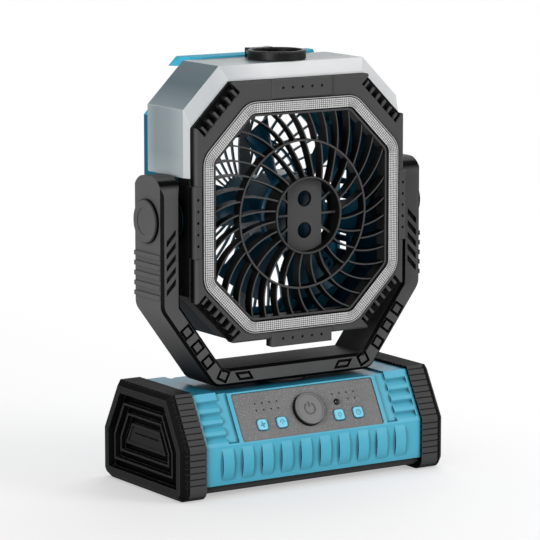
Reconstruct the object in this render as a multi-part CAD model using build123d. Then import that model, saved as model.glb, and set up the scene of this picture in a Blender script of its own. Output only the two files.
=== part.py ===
from build123d import *
from math import atan2, cos, degrees, floor, pi, radians, sin, sqrt, tan
import os

os.makedirs("parts", exist_ok=True)

# Rechargeable desk fan: a six-sided base with a control panel carries a turning yoke, and the yoke
# carries a tilting eight-cornered fan head with a light ring, a lamp band and a hanging loop.
# Millimetres. X runs to the right, Y to the back, Z up. The origin is on the table, under the base's centre.

# Base housing
base_length = 230.0  # over both end caps
base_depth = 115.0
base_height = 76.0
base_knee_height = 39.0  # the sides lean in above this height
base_top_depth = 73.5
housing_wall = 3.0
housing_floor = 9.8  # lower edge of the coloured housing
deck_drop = 1.6  # the deck under the yoke is lower than the flanks
bottom_plate_lift = 4.0  # free height under the bottom plate
bottom_plate_inset = 2.6
bottom_plate_bevel = 2.5
lip_height = 4.0
lip_wall = 1.6
lip_end_gap = 2.0

# Rubber end caps
cap_width = 20.5
cap_proud = 2.0  # the caps stand out round the housing by this much
cap_bevel = 4.0
cap_foot_radius = 9.0
cap_rim = 5.0
cap_recess = 6.0
cap_ridge_count = 3
cap_ridge = 1.4
cap_ridge_pitch = 7.0
cap_ridge_step = 1.1  # each ridge inwards is lower by this much
cap_slit_width = 1.6
cap_slit_length = 34.0
cap_slit_rise = 1.0  # above mid height
cap_groove_pitch = 4.6
cap_groove_width = 1.0
cap_groove_depth = 1.0
cap_spigot_length = 6.0
cap_spigot_wall = 2.5

# Moulded detail on the base
plank_count = 10
plank_pitch = 16.8
plank_width = 9.0
plank_foot_margin = 3.0
plank_head_margin = 2.2
plank_bulge = 2.0
flank_pocket_count = 4
flank_pocket_pitch = 8.8
flank_pocket_height = 6.2
flank_pocket_depth = 2.1
flank_pocket_lip = 1.8
flank_pocket_first = 2.6  # up the slope from the knee
flank_margin = 2.5
valley_width = 9.0  # channel between the console and the flank
valley_depth = 1.8

# Control panel, measured along the sloping front
panel_width = 123.4
panel_lift = 1.0  # up the slope from the knee
panel_head_margin = 1.4
panel_thickness = 2.2
panel_recess = 0.8
panel_ledge = 3.0
panel_corner = 2.0
panel_backing = 2.4
console_rim = 3.3
button_size = 8.6
button_corner = 2.4
button_proud = 1.3
button_bevel = 0.5
button_flange = 1.0
button_flange_thickness = 1.2
button_travel = 0.8
button_drop = 7.1  # button centres, down from the panel's middle
button_reach = 42.0  # outer buttons, from the middle
button_spacing = 16.8
main_button_radius = 12.4
main_button_proud = 3.6
main_button_dish = 0.5
main_button_rim = 1.4
light_rise = 9.5  # upper row of lights, up from the panel's middle
light_row_gap = 5.2
light_pitch = 6.3
light_radius = 0.65
light_columns = 4
light_reach = 43.3
remote_radius = 2.3
remote_rise = 3.1
remote_reach = 26.4
board_thickness = 1.6
board_side_margin = 9.7
board_edge_margin = 4.0
board_standoff = 5.0
standoff_radius = 2.6
switch_size = 6.0
switch_height = 1.9
switch_plunger = 0.6
stem_radius = 1.6

# Power inside the base
cell_radius = 9.15
cell_length = 65.0
cell_gap = 2.0
tray_wall = 1.6
tray_floor = 1.5
tray_height = 10.0
tray_board_gap = 9.0  # between the tray and the charging board
charge_board_width = 34.0
charge_board_depth = 20.0
charge_board_lift = 5.0
socket_width = 8.94
socket_height = 3.26
socket_depth = 7.35
socket_wall = 0.35
socket_tongue = 0.7
socket_tongue_side = 1.1
socket_tongue_sink = 1.2
socket_setback = 0.6
screw_radius = 1.5
screw_head_radius = 2.9
screw_head_height = 2.0
screw_length = 9.0
pillar_radius = 4.2
pillar_inset = 13.0  # from the housing's front and back

# Turning drive under the yoke
pivot_setback = 7.5  # yoke and tilt axes stand this far in front of the base's centre
post_radius = 11.0
post_bore = 5.0
post_disc_radius = 19.5
bush_wall = 3.0
bush_flange = 4.0
bush_flange_thickness = 1.4
bush_length = 10.0
gear_module = 0.8
gear_teeth = 44
pinion_teeth = 14
gear_thickness = 5.0
gear_addendum = 0.85  # in modules
gear_dedendum = 1.1
gear_pressure_angle = 20.0
gear_backlash = 0.12
retainer_thickness = 2.4
retainer_margin = 3.0
drive_motor_radius = 14.0
drive_motor_height = 19.0
drive_shaft_radius = 2.5
drive_ear_reach = 17.5
drive_ear_radius = 3.6
drive_ear_thickness = 1.2

# Yoke
arm_gap = 4.5  # between the head's widest part and each arm
yoke_arm = 16.0
yoke_depth = 39.6
yoke_lift = 3.0  # above the deck
yoke_bar = 13.0
yoke_limb = 14.0
yoke_limb_rise = 60.6
yoke_arm_rise = 32.8  # arm top above the tilt axis
yoke_foot_width = 138.0
yoke_bevel = 2.2
yoke_top_radius = 15.0
yoke_knee_radius = 12.0
pivot_cover_radius = 16.0
pivot_cover_proud = 2.8
pivot_cover_dish = 10.0
pivot_cover_sink = 0.5
pivot_cover_bevel = 0.8
arm_rib_count = 5
arm_rib_pitch = 7.3
arm_rib_first = 9.2  # above the knee
arm_rib_height = 3.4
arm_rib_proud = 1.1
arm_slot_count = 5
arm_slot_pitch = 8.9
arm_slot_first = 10.2
arm_slot_height = 4.6
arm_slot_slant = 8.2
arm_slot_width = 7.9
arm_slot_depth = 3.0
limb_pocket_size = 9.4
limb_pocket_first = 26.4  # down the limb from the knee
limb_pocket_pitch = 14.7
limb_pocket_count = 3
pocket_depth = 4.0
pocket_moat = 2.0
bar_pocket_length = 13.0
bar_pocket_height = 6.4
bar_pocket_slant = 4.0
bar_pocket_reach = 41.5
corner_pocket_inset = 7.5
corner_pocket_rise = 8.5

# Fan head, measured from the tilt axis and forwards from the base's centre plane
head_rise = 123.8  # tilt axis above the yoke's underside
bezel_side_margin = 5.6  # round the light ring
bezel_top_margin = 14.5
bezel_bottom_margin = 5.4
bezel_corner = 32.0
bezel_front = 37.4
bezel_depth = 8.0
bezel_skirt_depth = 15.4  # behind the bezel, below the lamp band
bezel_bevel = 1.4
vent_length = 43.0
vent_width = 9.6
vent_depth = 6.0
vent_rib_count = 6
vent_rib = 1.9
vent_rib_drop = 0.8
vent_rib_length = 6.0  # from the light ring's side
pad_length = 52.0
pad_proud = 0.9
pad_overhang = 1.4
pad_drop = 6.0
pad_bevel = 0.5
pad_lens_gap = 0.8
pad_dot_radius = 1.1
pad_dot_depth = 0.8
pad_dot_edge = 1.4
pad_dot_lift = 1.0
pad_dot_pitch = 8.4
pad_dot_count = 5
lens_width = 170.0
lens_corner = 38.0
lens_radius = 17.0
lens_band = 9.5
lens_thickness = 3.2
lens_proud = 0.8
lens_bevel = 0.6

# Front grille
grille_wall = 1.6
grille_setback = 0.4
grille_flange = 4.0
grille_flange_thickness = 2.4
fin_thickness = 1.2
fin_depth = 8.0
fin_sink = 0.7  # fins stand back from the rings' rims
fin_bend = 0.42  # share of the sweep reached half way out
inner_fin_count = 24
inner_fin_start = 5.0
inner_fin_sweep = 8.0
outer_fin_count = 36
outer_fin_start = 6.3
outer_fin_sweep = 20.8
hub_radius = 28.6
hub_wall = 1.8
hub_rise = 9.6  # hub rim in front of the bezel
hub_depth = 16.0
hub_bevel = 0.5
mid_ring_radius = 54.3
mid_ring_wall = 1.4
mid_ring_rise = 1.6
hub_plate_width = 29.5
hub_plate_drop = 6.4  # behind the hub rim
hub_plate_thickness = 2.6
hub_hole_radius = 5.9
hub_hole_reach = 11.6
hub_spoke = 1.6
hub_spoke_fan = 34.0

# Impeller and its motor
impeller_gap = 11.0  # tips inside the rear opening
impeller_hub_radius = 29.0
impeller_nose = 9.0  # hub front before the motor
impeller_hub_depth = 26.0
impeller_hub_wall = 2.2
impeller_hub_round = 4.0
blade_count = 6
blade_turn = -8.0  # first blade from level, as it stands at rest
blade_thickness = 1.7
blade_root_chord = 23.0
blade_tip_chord = 36.0
blade_root_pitch = 48.0
blade_tip_pitch = 27.0
blade_bow = 0.07  # of the chord
blade_belly = 1.0  # extra chord half way out
motor_radius = 18.0
motor_length = 40.0
motor_bevel = 1.2
motor_end_wall = 4.0
motor_mount_height = 19.0  # the rear grille carries the motor on a cup
motor_seat = 8.0
shaft_radius = 1.6
shaft_reach = 5.0

# Rear housing, rear grille and lamp band
shell_bottom = 89.0
shell_corner = 38.0
skirt_corner = 34.0
skirt_inset = 1.2  # lower shell inside the lamp band's width
skirt_seam = 0.6
shell_wall = 2.4
shell_back = 45.0
back_wall = 2.6
back_edge = 3.0
rear_inset = 6.3  # rear body inside the lamp band's width
rear_corner = 41.0
side_slot_count = 6
side_slot_pitch = 11.0
side_slot_height = 6.6
side_slot_margin = 1.0
side_slot_drop = 12.0
rear_opening_margin = 0.6
rear_grille_flange = 3.0
rear_grille_thickness = 2.4
rear_opening_corner = 52.0
rear_opening_round = 6.0
rear_ring_wall = 1.8
rear_ring_share = 0.62  # of the opening's half width
rear_spoke_count = 40
rear_spoke_sweep = 14.0
rear_strut_width = 9.0
rear_plate_radius = 21.0
lamp_overhang = 2.2  # past the bezel's sides
lamp_rise = 10.9  # above the bezel's top
lamp_corner = 30.3
lamp_low = 31.3
lamp_shoulder_depth = 6.0
lamp_shoulder_rise = 1.5
lamp_shoulder_lean = 0.25
lamp_wall = 2.4
lamp_side_room = 3.4
lamp_roof_room = 16.0
lamp_back = 26.1  # rear edge, behind the base's centre plane
strip_thickness = 1.4
strip_margin = 9.0
strip_end_gap = 2.0
head_screw_inset = 8.0
head_screw_lift = 2.0
crown_reach = 12.0  # past the flat top of the rear body
crown_height = 6.7
crown_end = 6.9
crown_taper = 12.0  # narrower at the front, seen from above
crown_straight = 3.0  # of its ends, before the taper
crown_bevel = 1.2
crown_proud = 1.5
boss_radius = 15.0
boss_proud = 1.2
axle_radius = 6.5
axle_bore = 3.5
axle_head_radius = 9.5
axle_head_thickness = 2.2
washer_radius = 13.0

# Hanging loop on the head
puck_radius = 17.6
puck_height = 3.4
puck_recess_radius = 13.0
puck_recess = 2.0
loop_wall = 3.2
loop_height = 6.2
loop_bevel = 0.8
loop_gap = 0.7
loop_lift = 0.9
hook_gap = 2.0  # between the hinge and the crown
hook_pin_radius = 1.5
knuckle_length = 12.0
knuckle_radius = 3.0
knuckle_gap = 0.5  # knuckle inside the lugs' height
lug_thickness = 4.0

# Clearances
fit_gap = 0.2
running_gap = 0.06
moving_gap = 0.35
press_gap = 0.02
overcut = 1.0  # cutting and joining shapes run past the surface by this much

# Values worked out from the sizes above
housing_end = base_length / 2 - cap_width
slope_angle = atan2((base_depth - base_top_depth) / 2, base_height - base_knee_height)
housing_half_depth = base_depth / 2 - cap_proud
housing_knee = base_knee_height - cap_proud * tan(slope_angle / 2)
housing_top = base_height - cap_proud
deck_height = housing_top - deck_drop
slope_length = (housing_top - housing_knee) / cos(slope_angle)
deck_slope = (deck_height - housing_knee) / cos(slope_angle)
slope_origin = (0, -housing_half_depth, housing_knee)
slope_plane = Plane(origin=slope_origin, x_dir=(1, 0, 0), z_dir=(0, -cos(slope_angle), sin(slope_angle)))
slope_section = Plane(origin=slope_origin, x_dir=(0, sin(slope_angle), cos(slope_angle)), z_dir=(1, 0, 0))
panel_height = deck_slope - panel_lift - panel_head_margin
panel_middle = panel_lift + panel_height / 2
panel_face = -panel_recess
panel_back = panel_face - panel_thickness
board_face = panel_back - board_standoff
board_width = panel_width - 2 * board_side_margin
board_height = panel_height - 2 * board_edge_margin
button_line = panel_middle - button_drop
light_line = panel_middle + light_rise
remote_line = panel_middle + remote_rise
console_width = panel_width + 2 * console_rim
deck_width = console_width + 2 * valley_width
plank_low = housing_floor + plank_foot_margin
plank_high = housing_knee - plank_head_margin
pillar_x = housing_end - cap_spigot_length - pillar_radius - 2 * fit_gap
pillar_y = housing_half_depth - pillar_inset
bezel_half = lens_width / 2 + bezel_side_margin
bezel_top = lens_width / 2 + bezel_top_margin
bezel_bottom = lens_width / 2 + bezel_bottom_margin
lamp_half = bezel_half + lamp_overhang
lamp_top = bezel_top + lamp_rise
shell_half = lamp_half - lamp_wall - lamp_side_room
shell_top = lamp_top - lamp_wall - lamp_roof_room
skirt_half = lamp_half - skirt_inset
rear_half = lamp_half - rear_inset
rear_top = lamp_top + crown_proud
rear_opening_inset = shell_wall + rear_grille_flange + rear_opening_margin
opening_half = rear_half - rear_opening_inset
impeller_radius = opening_half - impeller_gap
yoke_bottom = deck_height + yoke_lift
yoke_knee = yoke_bottom + yoke_limb_rise
head_height = yoke_bottom + head_rise
yoke_top = head_height + yoke_arm_rise
arm_inner = lamp_half + arm_gap
arm_outer = arm_inner + yoke_arm
head_plane = Plane(origin=(0, 0, head_height), x_dir=(1, 0, 0), z_dir=(0, -1, 0))
bezel_back = bezel_front - bezel_depth
skirt_joint = bezel_back - bezel_skirt_depth
lamp_front = bezel_back - lamp_shoulder_depth
hub_front = bezel_front + hub_rise
mid_ring_front = bezel_front + mid_ring_rise
hub_plate_front = hub_front - hub_plate_drop
motor_back = rear_grille_thickness + back_wall + motor_mount_height - shell_back
motor_front = motor_back + motor_length
shaft_front = motor_front + shaft_reach
impeller_hub_front = motor_front + impeller_nose
lens_back = bezel_front + lens_proud - lens_thickness
ledge_front = lens_back - board_thickness
gear_pitch_radius = gear_module * gear_teeth / 2
pinion_pitch_radius = gear_module * pinion_teeth / 2
drive_distance = gear_pitch_radius + pinion_pitch_radius + 2 * gear_backlash
bush_bottom = deck_height - bush_length
gear_top = bush_bottom - moving_gap
gear_bottom = gear_top - gear_thickness
drive_motor_top = gear_bottom - retainer_thickness - moving_gap - drive_ear_thickness
loop_inner = puck_radius + loop_gap
loop_outer = loop_inner + loop_wall
lamp_roof = head_height + lamp_top
hook_y = lamp_back - hook_gap - loop_outer - 2 * knuckle_radius
hinge_y = hook_y + loop_outer + knuckle_radius
hinge_z = lamp_roof + loop_lift + loop_height / 2


# Building helpers
def along_x(face, x_from, x_to):
    # face drawn in Y and Z, pushed along X
    return extrude(Plane.YZ.offset(x_from) * face, x_to - x_from, dir=(1, 0, 0))


def along_y(face, y_from, y_to):
    # face drawn in X and Z, pushed along Y
    return extrude(Plane.XZ.offset(-y_from) * face, y_to - y_from, dir=(0, 1, 0))


def forward(face, back, front):
    # face drawn across the head, pushed towards the viewer
    return extrude(Pos(0, 0, back) * face, front - back, dir=(0, 0, 1))


def on_head(shape):
    return head_plane * shape


def round_bar(radius, low, high):
    return Pos(0, 0, low) * Cylinder(radius, high - low, align=(Align.CENTER, Align.CENTER, Align.MIN))


def tube(outer, inner, low, high):
    return round_bar(outer, low, high) - round_bar(inner, low - overcut, high + overcut)


def block(x_size, y_size, z_size, place):
    return Pos(*place) * Box(x_size, y_size, z_size)


def half_space_below(height):
    big = 4 * base_length
    return Pos(0, 0, height) * Box(big, big, big, align=(Align.CENTER, Align.CENTER, Align.MAX))


def right_and_left(shape):
    return [shape, mirror(shape, Plane.YZ)]


def cornered(half_width, top, bottom, corner, radius=0):
    # upright outline with four cut corners
    points = [
        (half_width, corner - bottom),
        (half_width, top - corner),
        (half_width - corner, top),
        (corner - half_width, top),
        (-half_width, top - corner),
        (-half_width, corner - bottom),
        (corner - half_width, -bottom),
        (half_width - corner, -bottom),
    ]
    face = Polygon(*points, align=None)
    if radius:
        face = fillet(face.vertices(), radius)
    return face


def base_outline(inset):
    half = base_depth / 2
    half_top = base_top_depth / 2
    points = [
        (-half, 0),
        (half, 0),
        (half, base_knee_height),
        (half_top, base_height),
        (-half_top, base_height),
        (-half, base_knee_height),
    ]
    face = Polygon(*points, align=None)
    if inset:
        face = offset(face, -inset, kind=Kind.INTERSECTION)
    return face


# Base: coloured housing
def cavity_outline(extra):
    room = base_outline(cap_proud + housing_wall + extra)
    ceiling = deck_height - housing_wall - extra
    below = Rectangle(2 * base_depth, 2 * base_height, align=(Align.CENTER, Align.MAX))
    return room & Pos(0, ceiling) * below


def front_planks():
    crest = (-housing_half_depth - plank_bulge, (plank_low + plank_high) / 2)
    low = (-housing_half_depth, plank_low)
    high = (-housing_half_depth, plank_high)
    section = make_face(ThreePointArc(low, crest, high) + Line(high, low))
    first = -(plank_count - 1) / 2 * plank_pitch
    return [
        along_x(section, first + i * plank_pitch - plank_width / 2, first + i * plank_pitch + plank_width / 2)
        for i in range(plank_count)
    ]


def rear_planks():
    # the two planks in the middle give way to the charging socket
    middle = range(plank_count // 2 - 1, plank_count // 2 + 1)
    planks = front_planks()
    return [mirror(planks[i], Plane.XZ) for i in range(plank_count) if i not in middle]


def flank_pockets():
    low = deck_width / 2
    high = housing_end - flank_margin
    pockets = []
    for i in range(flank_pocket_count):
        foot = flank_pocket_first + i * flank_pocket_pitch
        head = foot + flank_pocket_height
        floor_line = head - flank_pocket_lip
        section = Polygon((foot, 0), (head, 0), (floor_line, -flank_pocket_depth), align=None)
        pockets.append(extrude(slope_section.offset(low) * section, high - low, dir=(1, 0, 0)))
    return pockets


def valley():
    # channel beside the console, closed by a short ramp above the knee
    top = slope_length + housing_wall
    ramp_top = panel_lift + valley_depth
    mouth = [(panel_lift, 0), (panel_lift, overcut), (top, overcut)]
    section = Polygon(*mouth, (top, -valley_depth), (ramp_top, -valley_depth), align=None)
    return extrude(slope_section.offset(console_width / 2) * section, valley_width, dir=(1, 0, 0))


def pillar_places():
    return [(x, y) for x in (-pillar_x, pillar_x) for y in (-pillar_y, pillar_y)]


def base_pillars():
    return [Pos(x, y) * round_bar(pillar_radius, housing_floor, base_height) for x, y in pillar_places()]


def motor_bosses():
    ceiling = deck_height - housing_wall / 2
    foot = drive_motor_top + drive_ear_thickness
    spots = [-pivot_setback + side * drive_ear_reach for side in (-1, 1)]
    return [Pos(drive_distance, y) * round_bar(drive_ear_radius, foot, ceiling) for y in spots]


def socket_height_centre():
    return housing_floor + charge_board_lift + board_thickness + socket_height / 2


def socket_opening(margin, y_from, y_to):
    slot = SlotOverall(socket_width + 2 * margin, socket_height + 2 * margin)
    return along_y(Pos(0, socket_height_centre()) * slot, y_from, y_to)


def base_shell():
    solid = along_x(base_outline(cap_proud), -housing_end, housing_end)
    body = solid - along_x(cavity_outline(0), -housing_end - overcut, housing_end + overcut)
    backing_depth = panel_recess + panel_thickness + panel_backing
    backing = slope_plane * Pos(0, panel_middle) * Rectangle(console_width, panel_height + 2 * panel_ledge)
    body += extrude(backing, -backing_depth) & solid
    body += [pillar & solid for pillar in base_pillars()]
    body += motor_bosses()
    body += front_planks() + rear_planks()
    body -= half_space_below(housing_floor)
    deck_cut = base_height - deck_height
    body -= block(deck_width, 2 * base_depth, deck_cut, (0, 0, deck_height + deck_cut / 2))
    for cut in flank_pockets() + [valley()]:
        for side in right_and_left(cut):
            body -= side
            body -= mirror(side, Plane.XZ)
    panel_place = slope_plane * Pos(0, panel_middle)
    seat = RectangleRounded(panel_width + 2 * fit_gap, panel_height + 2 * fit_gap, panel_corner)
    window = Rectangle(panel_width - 2 * panel_ledge, panel_height - 2 * panel_ledge)
    body -= extrude(panel_place * seat, -(panel_recess + panel_thickness))
    body -= extrude(panel_place * window, -2 * backing_depth)
    bush_hole = post_radius + running_gap + bush_wall + fit_gap
    body -= Pos(0, -pivot_setback) * round_bar(bush_hole, deck_height - 2 * housing_wall, base_height)
    for x, y in pillar_places():
        body -= Pos(x, y) * round_bar(screw_radius + press_gap, 0, housing_floor + screw_length)
    body -= socket_opening(fit_gap, housing_half_depth - 2 * housing_wall, base_depth)
    return body


def base_bottom_plate():
    half_depth = housing_half_depth - bottom_plate_inset
    length = 2 * (housing_end - moving_gap)
    thickness = housing_floor - bottom_plate_lift
    plate = block(length, 2 * half_depth, thickness, (0, 0, bottom_plate_lift + thickness / 2))
    plate = chamfer(plate.edges().group_by(Axis.Z)[0], bottom_plate_bevel)
    lip_depth = 2 * (housing_half_depth - housing_wall - fit_gap)
    lip_length = 2 * (housing_end - cap_spigot_length - lip_end_gap)
    middle = housing_floor + lip_height / 2
    lip = block(lip_length, lip_depth, lip_height, (0, 0, middle))
    lip -= block(lip_length - 2 * lip_wall, lip_depth - 2 * lip_wall, 2 * lip_height, (0, 0, middle))
    plate += lip
    for x, y in pillar_places():
        plate -= Pos(x, y) * round_bar(pillar_radius + fit_gap, housing_floor, housing_floor + 2 * lip_height)
        plate -= Pos(x, y) * round_bar(screw_radius + fit_gap, 0, housing_floor + overcut)
        plate -= Pos(x, y) * round_bar(screw_head_radius + fit_gap, 0, bottom_plate_lift + screw_head_height)
    for x in (-1, 1):
        spot = Pos(x * (charge_board_width / 2 - standoff_radius), charge_board_y())
        plate += spot * round_bar(standoff_radius, housing_floor - overcut, housing_floor + charge_board_lift)
    return plate


def base_screws():
    head_low = bottom_plate_lift
    head_high = head_low + screw_head_height
    screws = []
    for x, y in pillar_places():
        screw = round_bar(screw_head_radius, head_low, head_high)
        screw += round_bar(screw_radius, head_low, housing_floor + screw_length - fit_gap)
        screws.append(Pos(x, y) * screw)
    return Compound(children=screws)


# Base: end caps
def cap_grooves():
    half = base_depth / 2
    half_top = base_top_depth / 2
    corners = [
        (-half, cap_foot_radius),
        (-half, base_knee_height),
        (-half_top, base_height),
        (half_top, base_height),
        (half, base_knee_height),
        (half, cap_foot_radius),
    ]
    grooves = []
    for start, end in zip(corners, corners[1:]):
        run = sqrt((end[0] - start[0]) ** 2 + (end[1] - start[1]) ** 2)
        lean = degrees(atan2(end[1] - start[1], end[0] - start[0]))
        count = floor(run / cap_groove_pitch)
        for i in range(count):
            share = 0.5 + (i - (count - 1) / 2) * cap_groove_pitch / run
            y = start[0] + (end[0] - start[0]) * share
            z = start[1] + (end[1] - start[1]) * share
            cut = Pos(0, y, z) * Rot(lean, 0, 0) * Box(2 * cap_width, cap_groove_width, 2 * cap_groove_depth)
            grooves.append(Pos(base_length / 2, 0, 0) * cut)
    return grooves


def end_cap():
    end = base_length / 2
    outline = base_outline(0)
    feet = outline.vertices().group_by(Axis.Y)[0]
    cap = along_x(fillet(feet, cap_foot_radius), housing_end, end)
    cap = chamfer(cap.faces().sort_by(Axis.X)[-1].edges(), cap_bevel)
    cap -= cap_grooves()
    rim = cap_bevel + cap_rim
    cap -= along_x(base_outline(rim), end - cap_recess, end + overcut)
    for i in range(1, cap_ridge_count + 1):
        inset = rim + i * cap_ridge_pitch
        ring = base_outline(inset)
        if i < cap_ridge_count:
            ring -= base_outline(inset + cap_ridge)
        cap += along_x(ring, end - cap_recess - overcut, end - i * cap_ridge_step)
    heart = rim + cap_ridge_count * cap_ridge_pitch
    heart_top = end - cap_ridge_count * cap_ridge_step
    cap -= along_x(base_outline(heart + cap_ridge), heart_top - cap_ridge_step, end)
    slit = Pos(0, base_height / 2 + cap_slit_rise) * SlotOverall(cap_slit_length, cap_slit_width)
    cap -= along_x(slit, end - cap_recess, end)
    spigot = cavity_outline(fit_gap) - cavity_outline(fit_gap + cap_spigot_wall)
    tongue = along_x(spigot, housing_end - cap_spigot_length, housing_end)
    cap += tongue - half_space_below(housing_floor + lip_height + lip_end_gap)
    return cap


# Base: control panel and its buttons
def panel_spot(x, rise):
    return slope_plane * Pos(x, rise)


def button_places():
    return [-button_reach, -button_reach + button_spacing, button_reach - button_spacing, button_reach]


def light_places():
    left = [-light_reach + i * light_pitch for i in range(light_columns)]
    right = [light_reach - i * light_pitch for i in range(light_columns)]
    lower = light_line - light_row_gap
    spots = [(x, light_line) for x in left + right]
    return spots + [(x, lower) for x in left] + [(x, lower) for x in right[: light_columns // 2]]


def button_face(margin):
    return RectangleRounded(button_size + 2 * margin, button_size + 2 * margin, button_corner + margin)


def control_panel():
    low = panel_back - overcut
    high = panel_face + overcut
    face = RectangleRounded(panel_width, panel_height, panel_corner)
    plate = panel_spot(0, panel_middle) * Pos(0, 0, panel_back) * extrude(face, panel_thickness)
    for x in button_places():
        plate -= panel_spot(x, button_line) * Pos(0, 0, low) * extrude(button_face(moving_gap), high - low)
    plate -= panel_spot(0, panel_middle) * round_bar(main_button_radius + moving_gap, low, high)
    for x, rise in light_places():
        plate -= panel_spot(x, rise) * round_bar(light_radius + fit_gap / 2, low, high)
    plate -= panel_spot(remote_reach, remote_line) * round_bar(remote_radius + fit_gap, low, high)
    reach = board_width / 2 - standoff_radius
    rise = board_height / 2 - standoff_radius
    for x in (-reach, reach):
        for y in (panel_middle - rise, panel_middle + rise):
            plate += panel_spot(x, y) * round_bar(standoff_radius, board_face, panel_back + overcut)
    return plate


def control_board():
    back = board_face - board_thickness
    board = extrude(Pos(0, 0, back) * Rectangle(board_width, board_height), board_thickness)
    board = panel_spot(0, panel_middle) * board
    for x, rise in [(x, button_line) for x in button_places()] + [(0, panel_middle)]:
        switch = extrude(Rectangle(switch_size, switch_size), switch_height - switch_plunger)
        switch += round_bar(stem_radius, 0, switch_height)
        board += panel_spot(x, rise) * Pos(0, 0, board_face) * switch
    return board


def push_button(x):
    flange_back = panel_back - moving_gap - button_flange_thickness
    top = extrude(Pos(0, 0, flange_back) * button_face(0), panel_face + button_proud - flange_back)
    top = chamfer(top.edges().group_by(Axis.Z)[-1], button_bevel)
    top += extrude(Pos(0, 0, flange_back) * button_face(button_flange), button_flange_thickness)
    top += round_bar(stem_radius, board_face + switch_height + button_travel + fit_gap, flange_back)
    return panel_spot(x, button_line) * top


def main_button():
    flange_back = panel_back - moving_gap - button_flange_thickness
    front = panel_face + main_button_proud
    top = round_bar(main_button_radius, flange_back, front)
    top = chamfer(top.edges().group_by(Axis.Z)[-1], button_bevel)
    top -= round_bar(main_button_radius - main_button_rim, front - main_button_dish, front + overcut)
    top += round_bar(main_button_radius + button_flange, flange_back, flange_back + button_flange_thickness)
    top += round_bar(stem_radius, board_face + switch_height + button_travel + fit_gap, flange_back)
    return panel_spot(0, panel_middle) * top


def indicator_lights():
    pipe = round_bar(light_radius, board_face, panel_face)
    return Compound(children=[panel_spot(x, rise) * pipe for x, rise in light_places()])


def remote_window():
    barrel = round_bar(remote_radius, board_face, panel_face)
    dome = Pos(0, 0, panel_face) * Sphere(remote_radius)
    barrel += dome & round_bar(remote_radius, panel_face, panel_face + remote_radius)
    return panel_spot(remote_reach, remote_line) * barrel


# Base: battery and charging
def tray_inner_depth():
    return 4 * cell_radius + 3 * cell_gap


def tray_y():
    board_front = charge_board_y() - charge_board_depth / 2
    return board_front - tray_board_gap - tray_wall - tray_inner_depth() / 2


def battery_places():
    x = (cell_length + cell_gap) / 2
    y = cell_radius + cell_gap / 2
    return [(side * x, tray_y() + row * y) for side in (-1, 1) for row in (-1, 1)]


def battery_cells():
    cells = []
    centre = housing_floor + tray_floor + cell_radius
    for x, y in battery_places():
        cell = Rot(0, 90, 0) * Cylinder(cell_radius, cell_length)
        cell += Rot(0, 90, 0) * Cylinder(cell_radius / 3, cell_length + cell_gap / 2)
        cells.append(Pos(x, y, centre) * cell)
    return Compound(children=cells)


def battery_tray():
    inner_length = 2 * cell_length + 3 * cell_gap
    inner_depth = tray_inner_depth()
    full = Box(inner_length + 2 * tray_wall, inner_depth + 2 * tray_wall, tray_height)
    room = Pos(0, 0, tray_floor) * Box(inner_length, inner_depth, tray_height)
    return Pos(0, tray_y(), housing_floor + tray_height / 2) * (full - room)


def charge_board_y():
    return housing_half_depth - socket_setback - charge_board_depth / 2 - housing_wall


def charge_board():
    middle = housing_floor + charge_board_lift + board_thickness / 2
    return block(charge_board_width, charge_board_depth, board_thickness, (0, charge_board_y(), middle))


def charge_socket():
    mouth = housing_half_depth - socket_setback
    back = mouth - socket_depth
    shell = socket_opening(0, back, mouth)
    shell -= socket_opening(-socket_wall, back + socket_wall, mouth + overcut)
    width = socket_width - 2 * socket_tongue_side
    length = socket_depth - socket_tongue_sink
    return shell + block(width, length, socket_tongue, (0, back + length / 2, socket_height_centre()))


# Turning drive
def gear_face(teeth, phase):
    pitch_radius = gear_module * teeth / 2
    tip = pitch_radius + gear_addendum * gear_module
    root = pitch_radius - gear_dedendum * gear_module
    step = 2 * pi / teeth
    half_pitch = step / 4 - gear_backlash / pitch_radius
    lean = tan(radians(gear_pressure_angle))
    half_tip = half_pitch - lean * (tip - pitch_radius) / pitch_radius
    half_root = half_pitch + lean * (pitch_radius - root) / pitch_radius
    points = []
    for i in range(teeth):
        middle = phase + i * step
        for radius, angle in [(root, -half_root), (tip, -half_tip), (tip, half_tip), (root, half_root)]:
            points.append((radius * cos(middle + angle), radius * sin(middle + angle)))
    return Polygon(*points, align=None)


def on_pivot(shape):
    return Pos(0, -pivot_setback, 0) * shape


def on_tilt_axis(shape):
    # shape standing on Z, laid along X on the tilt axis
    return Pos(0, -pivot_setback, head_height) * Rot(0, 90, 0) * shape


def swivel_bush():
    bore = post_radius + running_gap
    flange_top = deck_height + bush_flange_thickness
    bush = tube(bore + bush_wall, bore, bush_bottom, flange_top)
    bush += tube(bore + bush_wall + bush_flange, bore, deck_height, flange_top)
    return on_pivot(bush)


def swivel_post():
    low = gear_bottom
    disc_low = deck_height + bush_flange_thickness + moving_gap
    post = round_bar(post_radius, low, yoke_bottom) + round_bar(post_disc_radius, disc_low, yoke_bottom)
    post -= round_bar(post_bore, low - overcut, yoke_bottom + overcut)
    return on_pivot(post)


def swivel_gear():
    wheel = extrude(Pos(0, 0, gear_bottom) * gear_face(gear_teeth, 0), gear_thickness)
    return on_pivot(wheel - round_bar(post_radius + press_gap, gear_bottom - overcut, gear_top + overcut))


def swivel_retainer():
    low = gear_bottom - retainer_thickness
    ring = tube(post_radius + retainer_margin, post_bore, low, gear_bottom)
    return on_pivot(ring)


def drive_pinion():
    phase = pi + pi / pinion_teeth
    wheel = extrude(Pos(0, 0, gear_bottom) * gear_face(pinion_teeth, phase), gear_thickness)
    wheel -= round_bar(drive_shaft_radius + running_gap, gear_bottom - overcut, gear_top + overcut)
    return Pos(drive_distance, -pivot_setback) * wheel


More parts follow.
